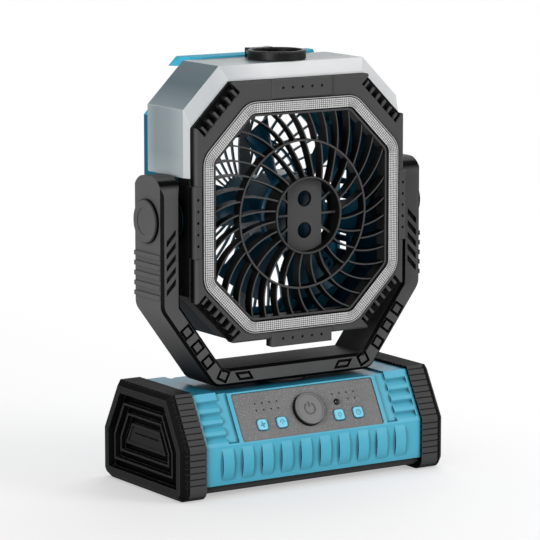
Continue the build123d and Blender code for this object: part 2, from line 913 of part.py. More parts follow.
def oscillation_motor():
    body = round_bar(drive_motor_radius, drive_motor_top - drive_motor_height, drive_motor_top)
    body += round_bar(drive_shaft_radius, drive_motor_top, gear_top)
    ear_top = drive_motor_top + drive_ear_thickness
    ears = Rectangle(2 * drive_ear_radius, 2 * drive_ear_reach)
    ears += [Pos(0, side * drive_ear_reach) * Circle(drive_ear_radius) for side in (-1, 1)]
    body += extrude(Pos(0, 0, drive_motor_top) * ears, ear_top - drive_motor_top)
    return Pos(drive_distance, -pivot_setback) * body


# Yoke
def limb_frame():
    # run, rise and length of the sloping limb's outer face, from the foot up to the knee
    run = arm_outer - yoke_foot_width / 2
    rise = yoke_knee - yoke_bottom
    return run, rise, sqrt(run**2 + rise**2)


def yoke_outline():
    foot = yoke_foot_width / 2
    bar_top = yoke_bottom + yoke_bar
    run, rise, length = limb_frame()
    # the limb's inner face is parallel to its outer face
    inner_foot = foot + (yoke_bar * run - yoke_limb * length) / rise
    inner_knee = bar_top + (arm_inner - inner_foot) * rise / run
    right = [
        (inner_foot, bar_top),
        (arm_inner, inner_knee),
        (arm_inner, yoke_top),
        (arm_outer, yoke_top),
        (arm_outer, yoke_knee),
        (foot, yoke_bottom),
    ]
    left = [(-x, z) for x, z in reversed(right)]
    face = Polygon(*(right + left), align=None)
    outer_bends = [v for v in face.vertices() if v.Y < yoke_knee + fit_gap and abs(v.X) > foot - fit_gap]
    return fillet([v for v in outer_bends if abs(v.X) > arm_inner or v.Y < bar_top], yoke_knee_radius)


def yoke_side_outline():
    middle = (yoke_top + yoke_bottom) / 2
    face = Pos(-pivot_setback, middle) * Rectangle(yoke_depth, yoke_top - yoke_bottom)
    return fillet(face.vertices().group_by(Axis.Y)[-1], yoke_top_radius)


def arm_slots():
    front = -pivot_setback - yoke_depth / 2
    outer = arm_outer - (yoke_arm - arm_slot_width) / 2
    inside = outer - arm_slot_width
    slots = []
    for i in range(arm_slot_count):
        low = yoke_knee + arm_slot_first + i * arm_slot_pitch
        points = [
            (outer, low),
            (outer, low + arm_slot_height),
            (inside, low + arm_slot_height + arm_slot_slant),
            (inside, low + arm_slot_slant),
        ]
        slots.append(along_y(Polygon(*points, align=None), front - overcut, front + arm_slot_depth))
    return slots


def square_pocket_places():
    # centres and leans of the square pockets down the sloping limb, with one in the bend below
    run, rise, length = limb_frame()
    lean = degrees(atan2(rise, run))
    inset = yoke_limb / 2
    places = []
    for i in range(limb_pocket_count):
        down = limb_pocket_first + i * limb_pocket_pitch
        x = arm_outer - (down * run + inset * rise) / length
        z = yoke_knee - (down * rise - inset * run) / length
        places.append((x, z, lean))
    corner = (yoke_foot_width / 2 - corner_pocket_inset, yoke_bottom + corner_pocket_rise, lean / 2)
    return places + [corner]


def bar_pockets():
    # each pocket is a moat round a raised middle
    front = -pivot_setback - yoke_depth / 2
    size = limb_pocket_size
    square = Rectangle(size, size) - Rectangle(size - 2 * pocket_moat, size - 2 * pocket_moat)
    moats = [Pos(x, z) * Rot(0, 0, lean) * square for x, z, lean in square_pocket_places()]
    low = yoke_bottom + (yoke_bar - bar_pocket_height) / 2
    high = low + bar_pocket_height
    start = bar_pocket_reach - bar_pocket_length / 2
    end = bar_pocket_reach + bar_pocket_length / 2
    points = [(start, low), (end, low), (end + bar_pocket_slant, high), (start + bar_pocket_slant, high)]
    wide = Polygon(*points, align=None)
    moats.append(wide - offset(wide, -pocket_moat, kind=Kind.INTERSECTION))
    return [along_y(moat, front - overcut, front + pocket_depth) for moat in moats]


def arm_ribs():
    length = yoke_depth - 2 * yoke_bevel
    ribs = []
    for i in range(arm_rib_count):
        z = yoke_knee + arm_rib_first + i * arm_rib_pitch
        ribs.append(block(2 * arm_rib_proud, length, arm_rib_height, (arm_outer, -pivot_setback, z)))
    return ribs


def yoke_frame():
    front = -pivot_setback - yoke_depth / 2
    frame = along_y(yoke_outline(), front, front + yoke_depth)
    faces = frame.faces().sort_by(Axis.Y)
    frame = chamfer(faces[0].edges() + faces[-1].edges(), yoke_bevel)
    frame &= along_x(yoke_side_outline(), -2 * arm_outer, 2 * arm_outer)
    for rib in arm_ribs():
        frame += right_and_left(rib)
    for cut in arm_slots() + bar_pockets():
        for side in right_and_left(cut):
            frame -= side
    frame -= on_tilt_axis(round_bar(axle_radius + running_gap, -2 * arm_outer, 2 * arm_outer))
    recess_floor = arm_outer - axle_head_thickness - moving_gap
    recess = on_tilt_axis(round_bar(axle_head_radius + moving_gap, recess_floor, 2 * arm_outer))
    for side in right_and_left(recess):
        frame -= side
    frame -= on_pivot(round_bar(post_bore, yoke_bottom - overcut, yoke_bottom + yoke_bar / 2))
    return frame


def pivot_cover():
    top = arm_outer + pivot_cover_proud
    cover = round_bar(pivot_cover_radius, arm_outer, top)
    cover = chamfer(cover.edges().group_by(Axis.Z)[-1], pivot_cover_bevel)
    cover -= round_bar(pivot_cover_dish, top - pivot_cover_sink, top + overcut)
    return on_tilt_axis(cover)


def tilt_washer():
    low = skirt_half + boss_proud + moving_gap
    return on_tilt_axis(tube(washer_radius, axle_radius + running_gap, low, arm_inner))


# Head: bezel with light ring
def lens_outline(inset):
    half = lens_width / 2
    face = cornered(half, half, half, lens_corner, lens_radius)
    if inset:
        face = offset(face, -inset)
    return face


def bezel_outline():
    return cornered(bezel_half, bezel_top, bezel_bottom, bezel_corner)


def vent_spots():
    # middles of the four cut corners, with the way that each faces
    half = bezel_half - bezel_corner / 2
    top = bezel_top - bezel_corner / 2
    low = -(bezel_bottom - bezel_corner / 2)
    return [(half, top, 45), (-half, top, 135), (-half, low, 225), (half, low, 315)]


def bezel_vents():
    cuts = []
    for x, y, facing in vent_spots():
        recess = Box(2 * vent_width, vent_length, 2 * vent_depth)
        rib_top = vent_depth - vent_rib_drop
        rib_middle = vent_rib_length / 2 - vent_width
        for i in range(vent_rib_count):
            across = (i - (vent_rib_count - 1) / 2) * vent_length / vent_rib_count
            place = (rib_middle, across, rib_top / 2 - vent_depth)
            recess -= block(vent_rib_length, vent_rib, rib_top, place)
        cuts.append(Pos(x, y, bezel_front) * Rot(0, 0, facing) * recess)
    return cuts


def bezel_pads():
    reach = lens_width / 2 + pad_lens_gap
    side = bezel_half + pad_overhang
    low = bezel_bottom + pad_drop
    thickness = bezel_depth + pad_proud
    middle = bezel_back + thickness / 2
    pads = [
        block(pad_length, bezel_top - reach, thickness, (0, (bezel_top + reach) / 2, middle)),
        block(pad_length, low - reach, thickness, (0, -(low + reach) / 2, middle)),
    ]
    for way in (-1, 1):
        pads.append(block(side - reach, pad_length, thickness, (way * (side + reach) / 2, 0, middle)))
    return [chamfer(pad.edges().group_by(Axis.Z)[-1], pad_bevel) for pad in pads]


def pad_dots():
    top = (bezel_top + lens_width / 2) / 2 + pad_dot_lift
    low = -(bezel_bottom + pad_drop + lens_width / 2) / 2
    side = bezel_half - pad_dot_edge
    spots = []
    for i in range(pad_dot_count):
        along = (i - (pad_dot_count - 1) / 2) * pad_dot_pitch
        spots += [(along, top), (along, low), (side, along), (-side, along)]
    front = bezel_front + pad_proud
    return [Pos(x, y) * round_bar(pad_dot_radius, front - pad_dot_depth, front + overcut) for x, y in spots]


def below_lamp():
    # the part of the head's cross-section that lies lower than the lamp band
    ledge = lamp_low - skirt_seam
    return Pos(0, ledge) * Rectangle(4 * lamp_half, 4 * lamp_top, align=(Align.CENTER, Align.MAX))


def bezel_skirt():
    # wall behind the bezel, with round notches for the bosses of the tilt axles
    wall = (shell_outline(0) - shell_outline(shell_wall)) & below_lamp()
    notch = Rot(0, 90, 0) * round_bar(boss_radius + fit_gap, -2 * lamp_half, 2 * lamp_half)
    return forward(wall, skirt_joint, bezel_back) - Pos(0, 0, pivot_setback) * notch


def front_bezel():
    frame = forward(bezel_outline(), bezel_back, bezel_front)
    frame = chamfer(frame.edges().group_by(Axis.Z)[-1], bezel_bevel)
    frame -= bezel_vents()
    frame += bezel_pads()
    frame -= pad_dots()
    frame -= forward(lens_outline(-fit_gap), ledge_front, bezel_front + bezel_depth)
    frame -= forward(lens_outline(lens_band - fit_gap), bezel_back - overcut, bezel_front)
    return on_head(frame + bezel_skirt())


def light_ring_lens():
    band = lens_outline(0) - lens_outline(lens_band)
    lens = forward(band, lens_back, lens_back + lens_thickness)
    return on_head(chamfer(lens.edges().group_by(Axis.Z)[-1], lens_bevel))


def light_ring_board():
    ring = lens_outline(fit_gap) - lens_outline(lens_band)
    return on_head(forward(ring, ledge_front, lens_back))


# Head: front grille
def fin_strip(inner, outer, start, sweep):
    # thin curved strip from the inner to the outer radius, leaning further as it goes out
    def at(radius, angle, shift):
        turn = radians(angle)
        x = radius * cos(turn) - shift * sin(turn)
        y = radius * sin(turn) + shift * cos(turn)
        return (x, y)

    half = fin_thickness / 2
    middle = (inner + outer) / 2
    bend = start + fin_bend * sweep
    one = ThreePointArc(at(inner, start, -half), at(middle, bend, -half), at(outer, start + sweep, -half))
    two = ThreePointArc(at(inner, start, half), at(middle, bend, half), at(outer, start + sweep, half))
    ends = Line(at(inner, start, -half), at(inner, start, half))
    ends += Line(at(outer, start + sweep, -half), at(outer, start + sweep, half))
    return make_face(one + two + ends)


def grille_dome():
    # the turned shape that the fins are trimmed to: proud at the hub, nearly flat at the frame
    far = lens_width / 2 + lens_band
    start = (hub_radius - hub_wall, hub_front - fin_sink)
    middle = (mid_ring_radius, mid_ring_front - fin_sink)
    end = (far, bezel_front - grille_setback - fin_sink)
    front = ThreePointArc(start, middle, end)
    back = Pos(0, -fin_depth) * front
    sides = Line(front @ 0, back @ 0) + Line(front @ 1, back @ 1)
    profile = Plane.XZ * make_face(front + back + sides)
    return revolve(profile, Axis.Z)


def grille_hub():
    ring = tube(hub_radius, hub_radius - hub_wall, hub_front - hub_depth, hub_front)
    ring = chamfer(ring.edges().group_by(Axis.Z)[-1], hub_bevel)
    plate = Rectangle(hub_plate_width, 2 * hub_radius) & Circle(hub_radius - hub_wall / 2)
    plate -= [Pos(0, side * hub_hole_reach) * Circle(hub_hole_radius) for side in (-1, 1)]
    spoke_start = hub_plate_width / 2 - overcut
    spoke_length = hub_radius - hub_wall / 2 - spoke_start
    spoke = Pos(spoke_start + spoke_length / 2, 0) * Rectangle(spoke_length, hub_spoke)
    for side in (0, 180):
        plate += [Rot(0, 0, side + lean) * spoke for lean in (-hub_spoke_fan, 0, hub_spoke_fan)]
    return ring + forward(plate, hub_plate_front - hub_plate_thickness, hub_plate_front)


def front_grille():
    opening = lens_outline(lens_band + fit_gap)
    inside = lens_outline(lens_band + fit_gap + grille_wall)
    flange_back = bezel_back - grille_flange_thickness
    frame = forward(opening - inside, flange_back, bezel_front - grille_setback)
    flange = lens_outline(lens_band + fit_gap - grille_flange) - inside
    frame += forward(flange, flange_back, bezel_back)
    inner = fin_strip(hub_radius - hub_wall / 2, mid_ring_radius, inner_fin_start, inner_fin_sweep)
    outer = fin_strip(mid_ring_radius, lens_width / 2 + lens_band, outer_fin_start, outer_fin_sweep)
    strips = [Rot(0, 0, i * 360 / inner_fin_count) * inner for i in range(inner_fin_count)]
    strips += [Rot(0, 0, i * 360 / outer_fin_count) * outer for i in range(outer_fin_count)]
    keep = forward(lens_outline(lens_band + fit_gap + grille_wall / 2), 0, hub_front)
    trimmer = grille_dome() & keep
    fins = [forward(strip, bezel_back - fin_depth, hub_front) & trimmer for strip in strips]
    ring_outer = mid_ring_radius + mid_ring_wall / 2
    mid_ring = tube(ring_outer, ring_outer - mid_ring_wall, mid_ring_front - fin_depth, mid_ring_front)
    return on_head(frame + fins + [mid_ring, grille_hub()])


# Head: impeller and motor
def blade_section(radius, chord, pitch):
    # thin bowed section standing across the radius
    half = chord / 2
    bow = chord * blade_bow
    thick = blade_thickness / 2
    upper = ThreePointArc((-half, thick), (0, bow + thick), (half, thick))
    lower = ThreePointArc((-half, -thick), (0, bow - thick), (half, -thick))
    ends = Line((-half, -thick), (-half, thick)) + Line((half, -thick), (half, thick))
    face = make_face(upper + lower + ends)
    stand = Plane(origin=(radius, 0, 0), x_dir=(0, 1, 0), z_dir=(1, 0, 0))
    return stand * Rot(0, 0, pitch) * face


def fan_impeller():
    low = impeller_hub_front - impeller_hub_depth
    roof = impeller_hub_front - impeller_hub_wall
    hub = round_bar(impeller_hub_radius, low, impeller_hub_front)
    hub = fillet(hub.edges().group_by(Axis.Z)[-1], impeller_hub_round)
    hub -= round_bar(impeller_hub_radius - impeller_hub_wall, low - overcut, roof)
    core_low = motor_front + moving_gap
    hub += round_bar(3 * shaft_radius, core_low, roof + overcut)
    hub -= round_bar(shaft_radius + press_gap, core_low - overcut, shaft_front + press_gap)
    root = impeller_hub_radius - impeller_hub_wall / 2
    middle = (root + impeller_radius) / 2
    middle_chord = (blade_root_chord + blade_tip_chord) / 2 + blade_belly
    middle_pitch = (blade_root_pitch + blade_tip_pitch) / 2
    sections = [
        blade_section(root, blade_root_chord, blade_root_pitch),
        blade_section(middle, middle_chord, middle_pitch),
        blade_section(impeller_radius, blade_tip_chord, blade_tip_pitch),
    ]
    blade = loft(sections) & tube(impeller_radius, root, -blade_tip_chord, blade_tip_chord)
    axial = impeller_hub_front - impeller_hub_depth / 2
    turns = [blade_turn + i * 360 / blade_count for i in range(blade_count)]
    blades = [Rot(0, 0, turn) * Pos(0, 0, axial) * blade for turn in turns]
    return on_head(hub + blades)


def fan_motor():
    can = round_bar(motor_radius, motor_back, motor_front)
    can = chamfer(can.edges().group_by(Axis.Z)[-1], motor_bevel)
    can -= round_bar(shaft_radius + running_gap, motor_back + motor_end_wall, motor_front + overcut)
    return on_head(can)


def motor_shaft():
    return on_head(round_bar(shaft_radius, motor_back + motor_end_wall + fit_gap, shaft_front))


# Head: rear housing and rear grille
def shell_outline(inset):
    # narrow under the lamp band, wide below it
    ledge = lamp_low - skirt_seam
    right = [
        (skirt_half - skirt_corner, -shell_bottom),
        (skirt_half, skirt_corner - shell_bottom),
        (skirt_half, ledge),
        (shell_half, ledge),
        (shell_half, shell_top - shell_corner),
        (shell_half - shell_corner, shell_top),
    ]
    left = [(-x, y) for x, y in reversed(right)]
    face = Polygon(*(right + left), align=None)
    if inset:
        face = offset(face, -inset, kind=Kind.INTERSECTION)
    return face


def lamp_outline(inset):
    half = lamp_half - inset
    top = lamp_top - inset
    corner = lamp_corner - inset * (2 - sqrt(2))
    low = lamp_low + inset
    points = [
        (half, low),
        (half, top - corner),
        (half - corner, top),
        (corner - half, top),
        (-half, top - corner),
        (-half, low),
    ]
    return Polygon(*points, align=None)


def rear_outline(inset):
    face = cornered(rear_half, rear_top, shell_bottom, rear_corner)
    if inset:
        face = offset(face, -inset, kind=Kind.INTERSECTION)
    return face


def rear_opening(growth):
    top = shell_top - rear_opening_inset
    bottom = shell_bottom - rear_opening_inset
    face = cornered(opening_half, top, bottom, rear_opening_corner, rear_opening_round)
    if growth:
        face = offset(face, growth)
    return face


def crown():
    # raised lip along the top of the rear body, with sloping ends
    half = rear_half - rear_corner + crown_reach
    foot = rear_top - crown_height
    points = [(half + crown_end, foot), (half, rear_top), (-half, rear_top), (-half - crown_end, foot)]
    lip = forward(Polygon(*points, align=None), -shell_back, -lamp_back)
    wide = half + crown_end + overcut
    narrow = half - crown_taper
    corner = -shell_back + crown_straight
    right = [(wide, -shell_back - overcut), (wide, corner), (narrow, -lamp_back + overcut)]
    left = [(-x, z) for x, z in reversed(right)]
    plan = Plane.XZ * Polygon(*(right + left), align=None)
    lip &= extrude(plan, 2 * rear_top, both=True)
    return chamfer(lip.faces().sort_by(Axis.Z)[0].edges(), crown_bevel)


def side_slots():
    # air slots through both side walls of the rear body
    length = shell_back - back_edge - lamp_back - shell_wall - 2 * side_slot_margin
    middle = -lamp_back - shell_wall - side_slot_margin - length / 2
    slots = []
    for i in range(side_slot_count):
        rise = (i - (side_slot_count - 1) / 2) * side_slot_pitch - side_slot_drop
        slots.append(block(4 * rear_half, side_slot_height, length, (0, rise, middle)))
    return slots


def rear_housing():
    back = -shell_back
    joint = -lamp_back
    shell = forward(shell_outline(0), joint, bezel_back)
    shell -= forward(below_lamp(), skirt_joint, bezel_back + overcut)
    rear = forward(rear_outline(0), back, joint)
    shell += chamfer(rear.faces().sort_by(Axis.Z)[0].edges(), back_edge)
    shell += crown()
    shell -= forward(shell_outline(shell_wall), joint + shell_wall, bezel_back + overcut)
    neck = shell_outline(shell_wall) & rear_outline(shell_wall)
    shell -= forward(neck, joint - shell_wall - overcut, joint + shell_wall + overcut)
    shell -= forward(rear_outline(shell_wall), back + back_wall, joint - shell_wall)
    shell -= forward(rear_opening(0), back - overcut, back + back_wall + overcut)
    shell -= side_slots()
    boss_low = skirt_half - shell_wall
    boss = Rot(0, 90, 0) * round_bar(boss_radius, boss_low, skirt_half + boss_proud)
    hole = Rot(0, 90, 0) * round_bar(axle_radius + press_gap, boss_low - overcut, 2 * skirt_half)
    for side in right_and_left(Pos(0, 0, pivot_setback) * boss):
        shell += side
    for side in right_and_left(Pos(0, 0, pivot_setback) * hole):
        shell -= side
    bore = screw_radius + press_gap
    for x, y in head_screw_places():
        shell -= Pos(x, y) * round_bar(screw_head_radius + fit_gap, back - overcut, back + screw_head_height)
        shell -= Pos(x, y) * round_bar(bore, back - overcut, back + screw_length)
        shell += Pos(x, y) * tube(pillar_radius, bore, back + back_wall, back + screw_length + overcut)
    return on_head(shell)


def head_screw_places():
    x = shell_half - shell_wall - pillar_radius - head_screw_inset
    y = shell_bottom - shell_corner + head_screw_lift
    return [(x, y), (-x, y), (x, -y), (-x, -y)]


def head_screws():
    low = -shell_back
    screws = []
    for x, y in head_screw_places():
        screw = round_bar(screw_head_radius, low, low + screw_head_height)
        screw += round_bar(screw_radius, low, low + screw_length - fit_gap)
        screws.append(Pos(x, y) * screw)
    return on_head(Compound(children=screws))


def motor_cup():
    # seat for the motor, hollow from behind
    low = -shell_back + back_wall
    rim = motor_back + motor_seat
    cup = round_bar(rear_plate_radius, low, rim)
    cup -= round_bar(motor_radius + fit_gap, motor_back, rim + overcut)
    cup -= round_bar(rear_plate_radius - shell_wall, low - overcut, motor_back - shell_wall)
    return cup


def rear_grille():
    low = -shell_back + back_wall
    start = rear_plate_radius - overcut
    far = sqrt((shell_top - rear_opening_inset) ** 2 + (opening_half - rear_opening_corner) ** 2)
    middle = rear_ring_share * opening_half
    web = Circle(middle + rear_ring_wall / 2) - Circle(middle - rear_ring_wall / 2)
    for i in range(4):
        strut = Pos((start + far) / 2, 0) * Rectangle(far - start, rear_strut_width)
        web += Rot(0, 0, 90 * i) * strut
    thin = fin_strip(start, far, 0, -rear_spoke_sweep)
    web += [Rot(0, 0, i * 360 / rear_spoke_count) * thin for i in range(rear_spoke_count)]
    web &= rear_opening(0)
    web += rear_opening(rear_grille_flange) - rear_opening(-rear_ring_wall)
    return on_head(forward(web, low, low + rear_grille_thickness) + motor_cup())


# Head: lamp band
def lamp_diffuser():
    band = forward(lamp_outline(0), -lamp_back, lamp_front)
    half = bezel_half
    shoulder_top = bezel_top + lamp_shoulder_rise
    shoulder_corner = lamp_corner + (lamp_top - shoulder_top) * lamp_shoulder_lean
    shoulder = Polygon(
        (half, lamp_low),
        (half, shoulder_top - shoulder_corner),
        (half - shoulder_corner, shoulder_top),
        (shoulder_corner - half, shoulder_top),
        (-half, shoulder_top - shoulder_corner),
        (-half, lamp_low),
        align=None,
    )
    band += loft([Pos(0, 0, lamp_front) * lamp_outline(0), Pos(0, 0, bezel_back) * shoulder], ruled=True)
    band -= forward(lamp_outline(lamp_wall), lamp_wall - lamp_back, lamp_front - lamp_wall / 2)
    band -= forward(shell_outline(-fit_gap), -lamp_back - overcut, bezel_back + overcut)
    return on_head(band)


def lamp_strip():
    band = shell_outline(-strip_thickness) - shell_outline(0)
    low = lamp_low + lamp_wall + strip_end_gap
    band &= Pos(0, low) * Rectangle(4 * lamp_half, 2 * lamp_top, align=(Align.CENTER, Align.MIN))
    return on_head(forward(band, strip_margin - lamp_back, lamp_front - strip_margin))


# Head: tilt axles
def tilt_axle():
    axle = round_bar(axle_radius, skirt_half - shell_wall, arm_outer - moving_gap)
    axle += round_bar(axle_head_radius, arm_outer - axle_head_thickness, arm_outer - moving_gap)
    return on_tilt_axis(axle - round_bar(axle_bore, 0, 2 * arm_outer))


# Hanging loop
def on_hinge(shape):
    return Pos(0, hinge_y, hinge_z) * Rot(0, 90, 0) * shape


def hook_base():
    top = lamp_roof + puck_height
    puck = round_bar(puck_radius, lamp_roof, top)
    puck = chamfer(puck.edges().group_by(Axis.Z)[-1], loop_bevel)
    puck -= round_bar(puck_recess_radius, top - puck_recess, top + overcut)
    puck = Pos(0, hook_y) * puck
    lug_x = knuckle_length / 2 + moving_gap + lug_thickness / 2
    lug_top = hinge_z + knuckle_radius
    lug_end = hinge_y + knuckle_radius
    foot_start = hook_y + sqrt(puck_radius**2 - (lug_x + lug_thickness) ** 2)
    foot_height = loop_lift - moving_gap
    foot_length = lug_end - foot_start
    for x in (-lug_x, lug_x):
        foot_place = (x, foot_start + foot_length / 2, lamp_roof + foot_height / 2)
        puck += block(lug_thickness, foot_length, foot_height, foot_place)
        ear_place = (x, hinge_y, (lug_top + lamp_roof) / 2)
        puck += block(lug_thickness, 2 * knuckle_radius, lug_top - lamp_roof, ear_place)
    return puck - on_hinge(Cylinder(hook_pin_radius + press_gap, 4 * knuckle_length))


def hook_pin():
    length = knuckle_length + 2 * moving_gap + 2 * lug_thickness
    return on_hinge(Cylinder(hook_pin_radius, length))


def hanging_hook():
    low = lamp_roof + loop_lift
    ring = tube(loop_outer, loop_inner, low, low + loop_height)
    ring = Pos(0, hook_y) * chamfer(ring.edges().group_by(Axis.Z)[-1], loop_bevel)
    # the lugs of the base stand in two slots beside the knuckle
    lug_room = lug_thickness + 2 * moving_gap
    for side in (-1, 1):
        x = side * (knuckle_length + lug_room) / 2
        ring -= block(lug_room, 4 * knuckle_radius, 4 * loop_height, (x, hinge_y, hinge_z))
    neck_length = knuckle_radius + loop_wall
    ring += on_hinge(Cylinder(knuckle_radius - knuckle_gap, knuckle_length))
    ring += block(knuckle_length, neck_length, loop_height, (0, hinge_y - neck_length / 2, hinge_z))
    return ring - on_hinge(Cylinder(hook_pin_radius + running_gap, 4 * knuckle_length))


# Every node of the assembly
right_cap = end_cap()
right_cover = pivot_cover()
right_washer = tilt_washer()
right_axle = tilt_axle()
nodes = {
    "base_shell": base_shell(),
    "base_bottom_plate": base_bottom_plate(),
    "base_screws": base_screws(),
    "end_cap_right": right_cap,
    "end_cap_left": mirror(right_cap, Plane.YZ),
    "control_panel": control_panel(),
    "control_board": control_board(),
    "indicator_lights": indicator_lights(),
    "remote_window": remote_window(),
    "main_button": main_button(),
    "battery_tray": battery_tray(),
    "battery_cells": battery_cells(),
    "charge_board": charge_board(),
    "charge_socket": charge_socket(),
    "oscillation_motor": oscillation_motor(),
    "drive_pinion": drive_pinion(),
    "swivel_bush": swivel_bush(),
    "swivel_post": swivel_post(),
    "swivel_gear": swivel_gear(),
    "swivel_retainer": swivel_retainer(),
    "yoke_frame": yoke_frame(),
    "pivot_cover_right": right_cover,
    "pivot_cover_left": mirror(right_cover, Plane.YZ),
    "tilt_washer_right": right_washer,
    "tilt_washer_left": mirror(right_washer, Plane.YZ),
    "tilt_axle_right": right_axle,
    "tilt_axle_left": mirror(right_axle, Plane.YZ),
    "front_bezel": front_bezel(),
    "light_ring_lens": light_ring_lens(),
    "light_ring_board": light_ring_board(),
    "front_grille": front_grille(),
    "fan_impeller": fan_impeller(),
    "fan_motor": fan_motor(),
    "motor_shaft": motor_shaft(),
    "rear_housing": rear_housing(),
    "rear_grille": rear_grille(),
    "head_screws": head_screws(),
    "lamp_diffuser": lamp_diffuser(),
    "lamp_strip": lamp_strip(),
    "hook_base": hook_base(),
    "hook_pin": hook_pin(),
    "hanging_hook": hanging_hook(),
}
button_names = ["fan_button", "swing_button", "light_button", "timer_button"]
for name, x in zip(button_names, button_places()):
    nodes[name] = push_button(x)

for name, shape in nodes.items():
    export_step(shape, f"parts/{name}.step")
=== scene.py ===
import bpy, bmesh, math
from mathutils import Matrix, Vector


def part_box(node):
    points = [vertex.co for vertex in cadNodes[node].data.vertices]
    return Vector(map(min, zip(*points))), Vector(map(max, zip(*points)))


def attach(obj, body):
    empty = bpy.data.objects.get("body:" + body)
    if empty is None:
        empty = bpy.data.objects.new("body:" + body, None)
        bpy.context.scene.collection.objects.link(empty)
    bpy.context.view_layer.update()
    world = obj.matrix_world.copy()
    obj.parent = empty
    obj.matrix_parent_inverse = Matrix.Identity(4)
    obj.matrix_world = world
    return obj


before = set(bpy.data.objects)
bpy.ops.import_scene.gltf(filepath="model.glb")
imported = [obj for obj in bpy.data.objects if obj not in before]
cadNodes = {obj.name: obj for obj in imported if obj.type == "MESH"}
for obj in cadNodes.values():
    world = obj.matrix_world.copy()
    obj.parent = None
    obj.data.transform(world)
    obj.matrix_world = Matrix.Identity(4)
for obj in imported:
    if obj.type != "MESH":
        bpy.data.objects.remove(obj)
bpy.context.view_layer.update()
scene = bpy.context.scene
mm = 0.001
flush = 0.01 * mm  # points this close to the foremost one share its face
diagonal = 0.7071  # sine and cosine of 45 degrees


def srgb(red, green, blue):
    # display colour 0-255 to the shader's linear colour
    def one(c):
        c = c / 255
        return c / 12.92 if c <= 0.04045 else ((c + 0.055) / 1.055) ** 2.4

    return (one(red), one(green), one(blue), 1.0)


def grey(level):
    return srgb(level, level, level)


def linear(level):
    return (level, level, level, 1.0)


def middleOf(name):
    low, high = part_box(name)
    return (low + high) / 2


def foremost(name, way):
    # the points of a node that lie furthest along a direction
    points = [vertex.co for vertex in cadNodes[name].data.vertices]
    front = max(point.dot(way) for point in points)
    return [point for point in points if point.dot(way) > front - flush]


# The sloping panel: across it, up its slope and straight out of it
def panelOutward():
    widest = max(cadNodes["control_panel"].data.polygons, key=lambda face: face.area)
    return widest.normal if widest.normal.y < 0 else -widest.normal


outward = panelOutward()
across = Vector((1, 0, 0))
upSlope = outward.cross(across)
lensLow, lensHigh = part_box("light_ring_lens")
headMiddle = (lensLow + lensHigh) / 2

# What all finishes share: how gaps are found for painted shade and edges for painted highlights, the clouds
# of the cast colour and the grain
castLook = dict(gapSamples=6, gapDeep=0.15, gapOpen=0.85, edgeSamples=4, edgeBent=0.86, edgeFlat=0.995,
                cloudDetail=3.0, cloudRough=0.5, cloudDark=0.3, cloudLight=0.7, grainDetail=2.0,
                grainRough=0.6, grainLow=0.3, grainHigh=0.7, smoother=0.06, rougher=0.08,
                grainHeight=0.2 * mm)


class Nodes:
    # one node tree: adds its nodes and links them
    def __init__(self, owner):
        owner.use_nodes = True
        self.tree = owner.node_tree

    def add(self, kind, levels=None, **values):
        # values are the node's own settings, levels those of its sockets
        node = self.tree.nodes.new(kind)
        for key, value in values.items():
            setattr(node, key, value)
        for socket, level in (levels or {}).items():
            node.inputs[socket].default_value = level
        return node

    def join(self, source, target):
        self.tree.links.new(source, target)

    def maths(self, kind, *values):
        node = self.add("ShaderNodeMath", operation=kind)
        for socket, value in zip(node.inputs, values):
            if isinstance(value, (int, float)):
                socket.default_value = value
            else:
                self.join(value, socket)
        return node.outputs[0]

    def spread(self, source, low, high, start, end, **values):
        # low where the source is at its start, high where it is at its end
        levels = {"From Min": start, "From Max": end, "To Min": low, "To Max": high}
        node = self.add("ShaderNodeMapRange", levels, **values)
        self.join(source, node.inputs["Value"])
        return node.outputs["Result"]

    def fadeIn(self, source, start, end):
        return self.spread(source, 0.0, 1.0, start, end)

    def fadeOut(self, source, start, end):
        return self.spread(source, 1.0, 0.0, start, end)

    def mixShaders(self, share, first, second):
        node = self.add("ShaderNodeMixShader")
        for source, socket in zip((share, first, second), node.inputs):
            self.join(source, socket)
        return node.outputs[0]


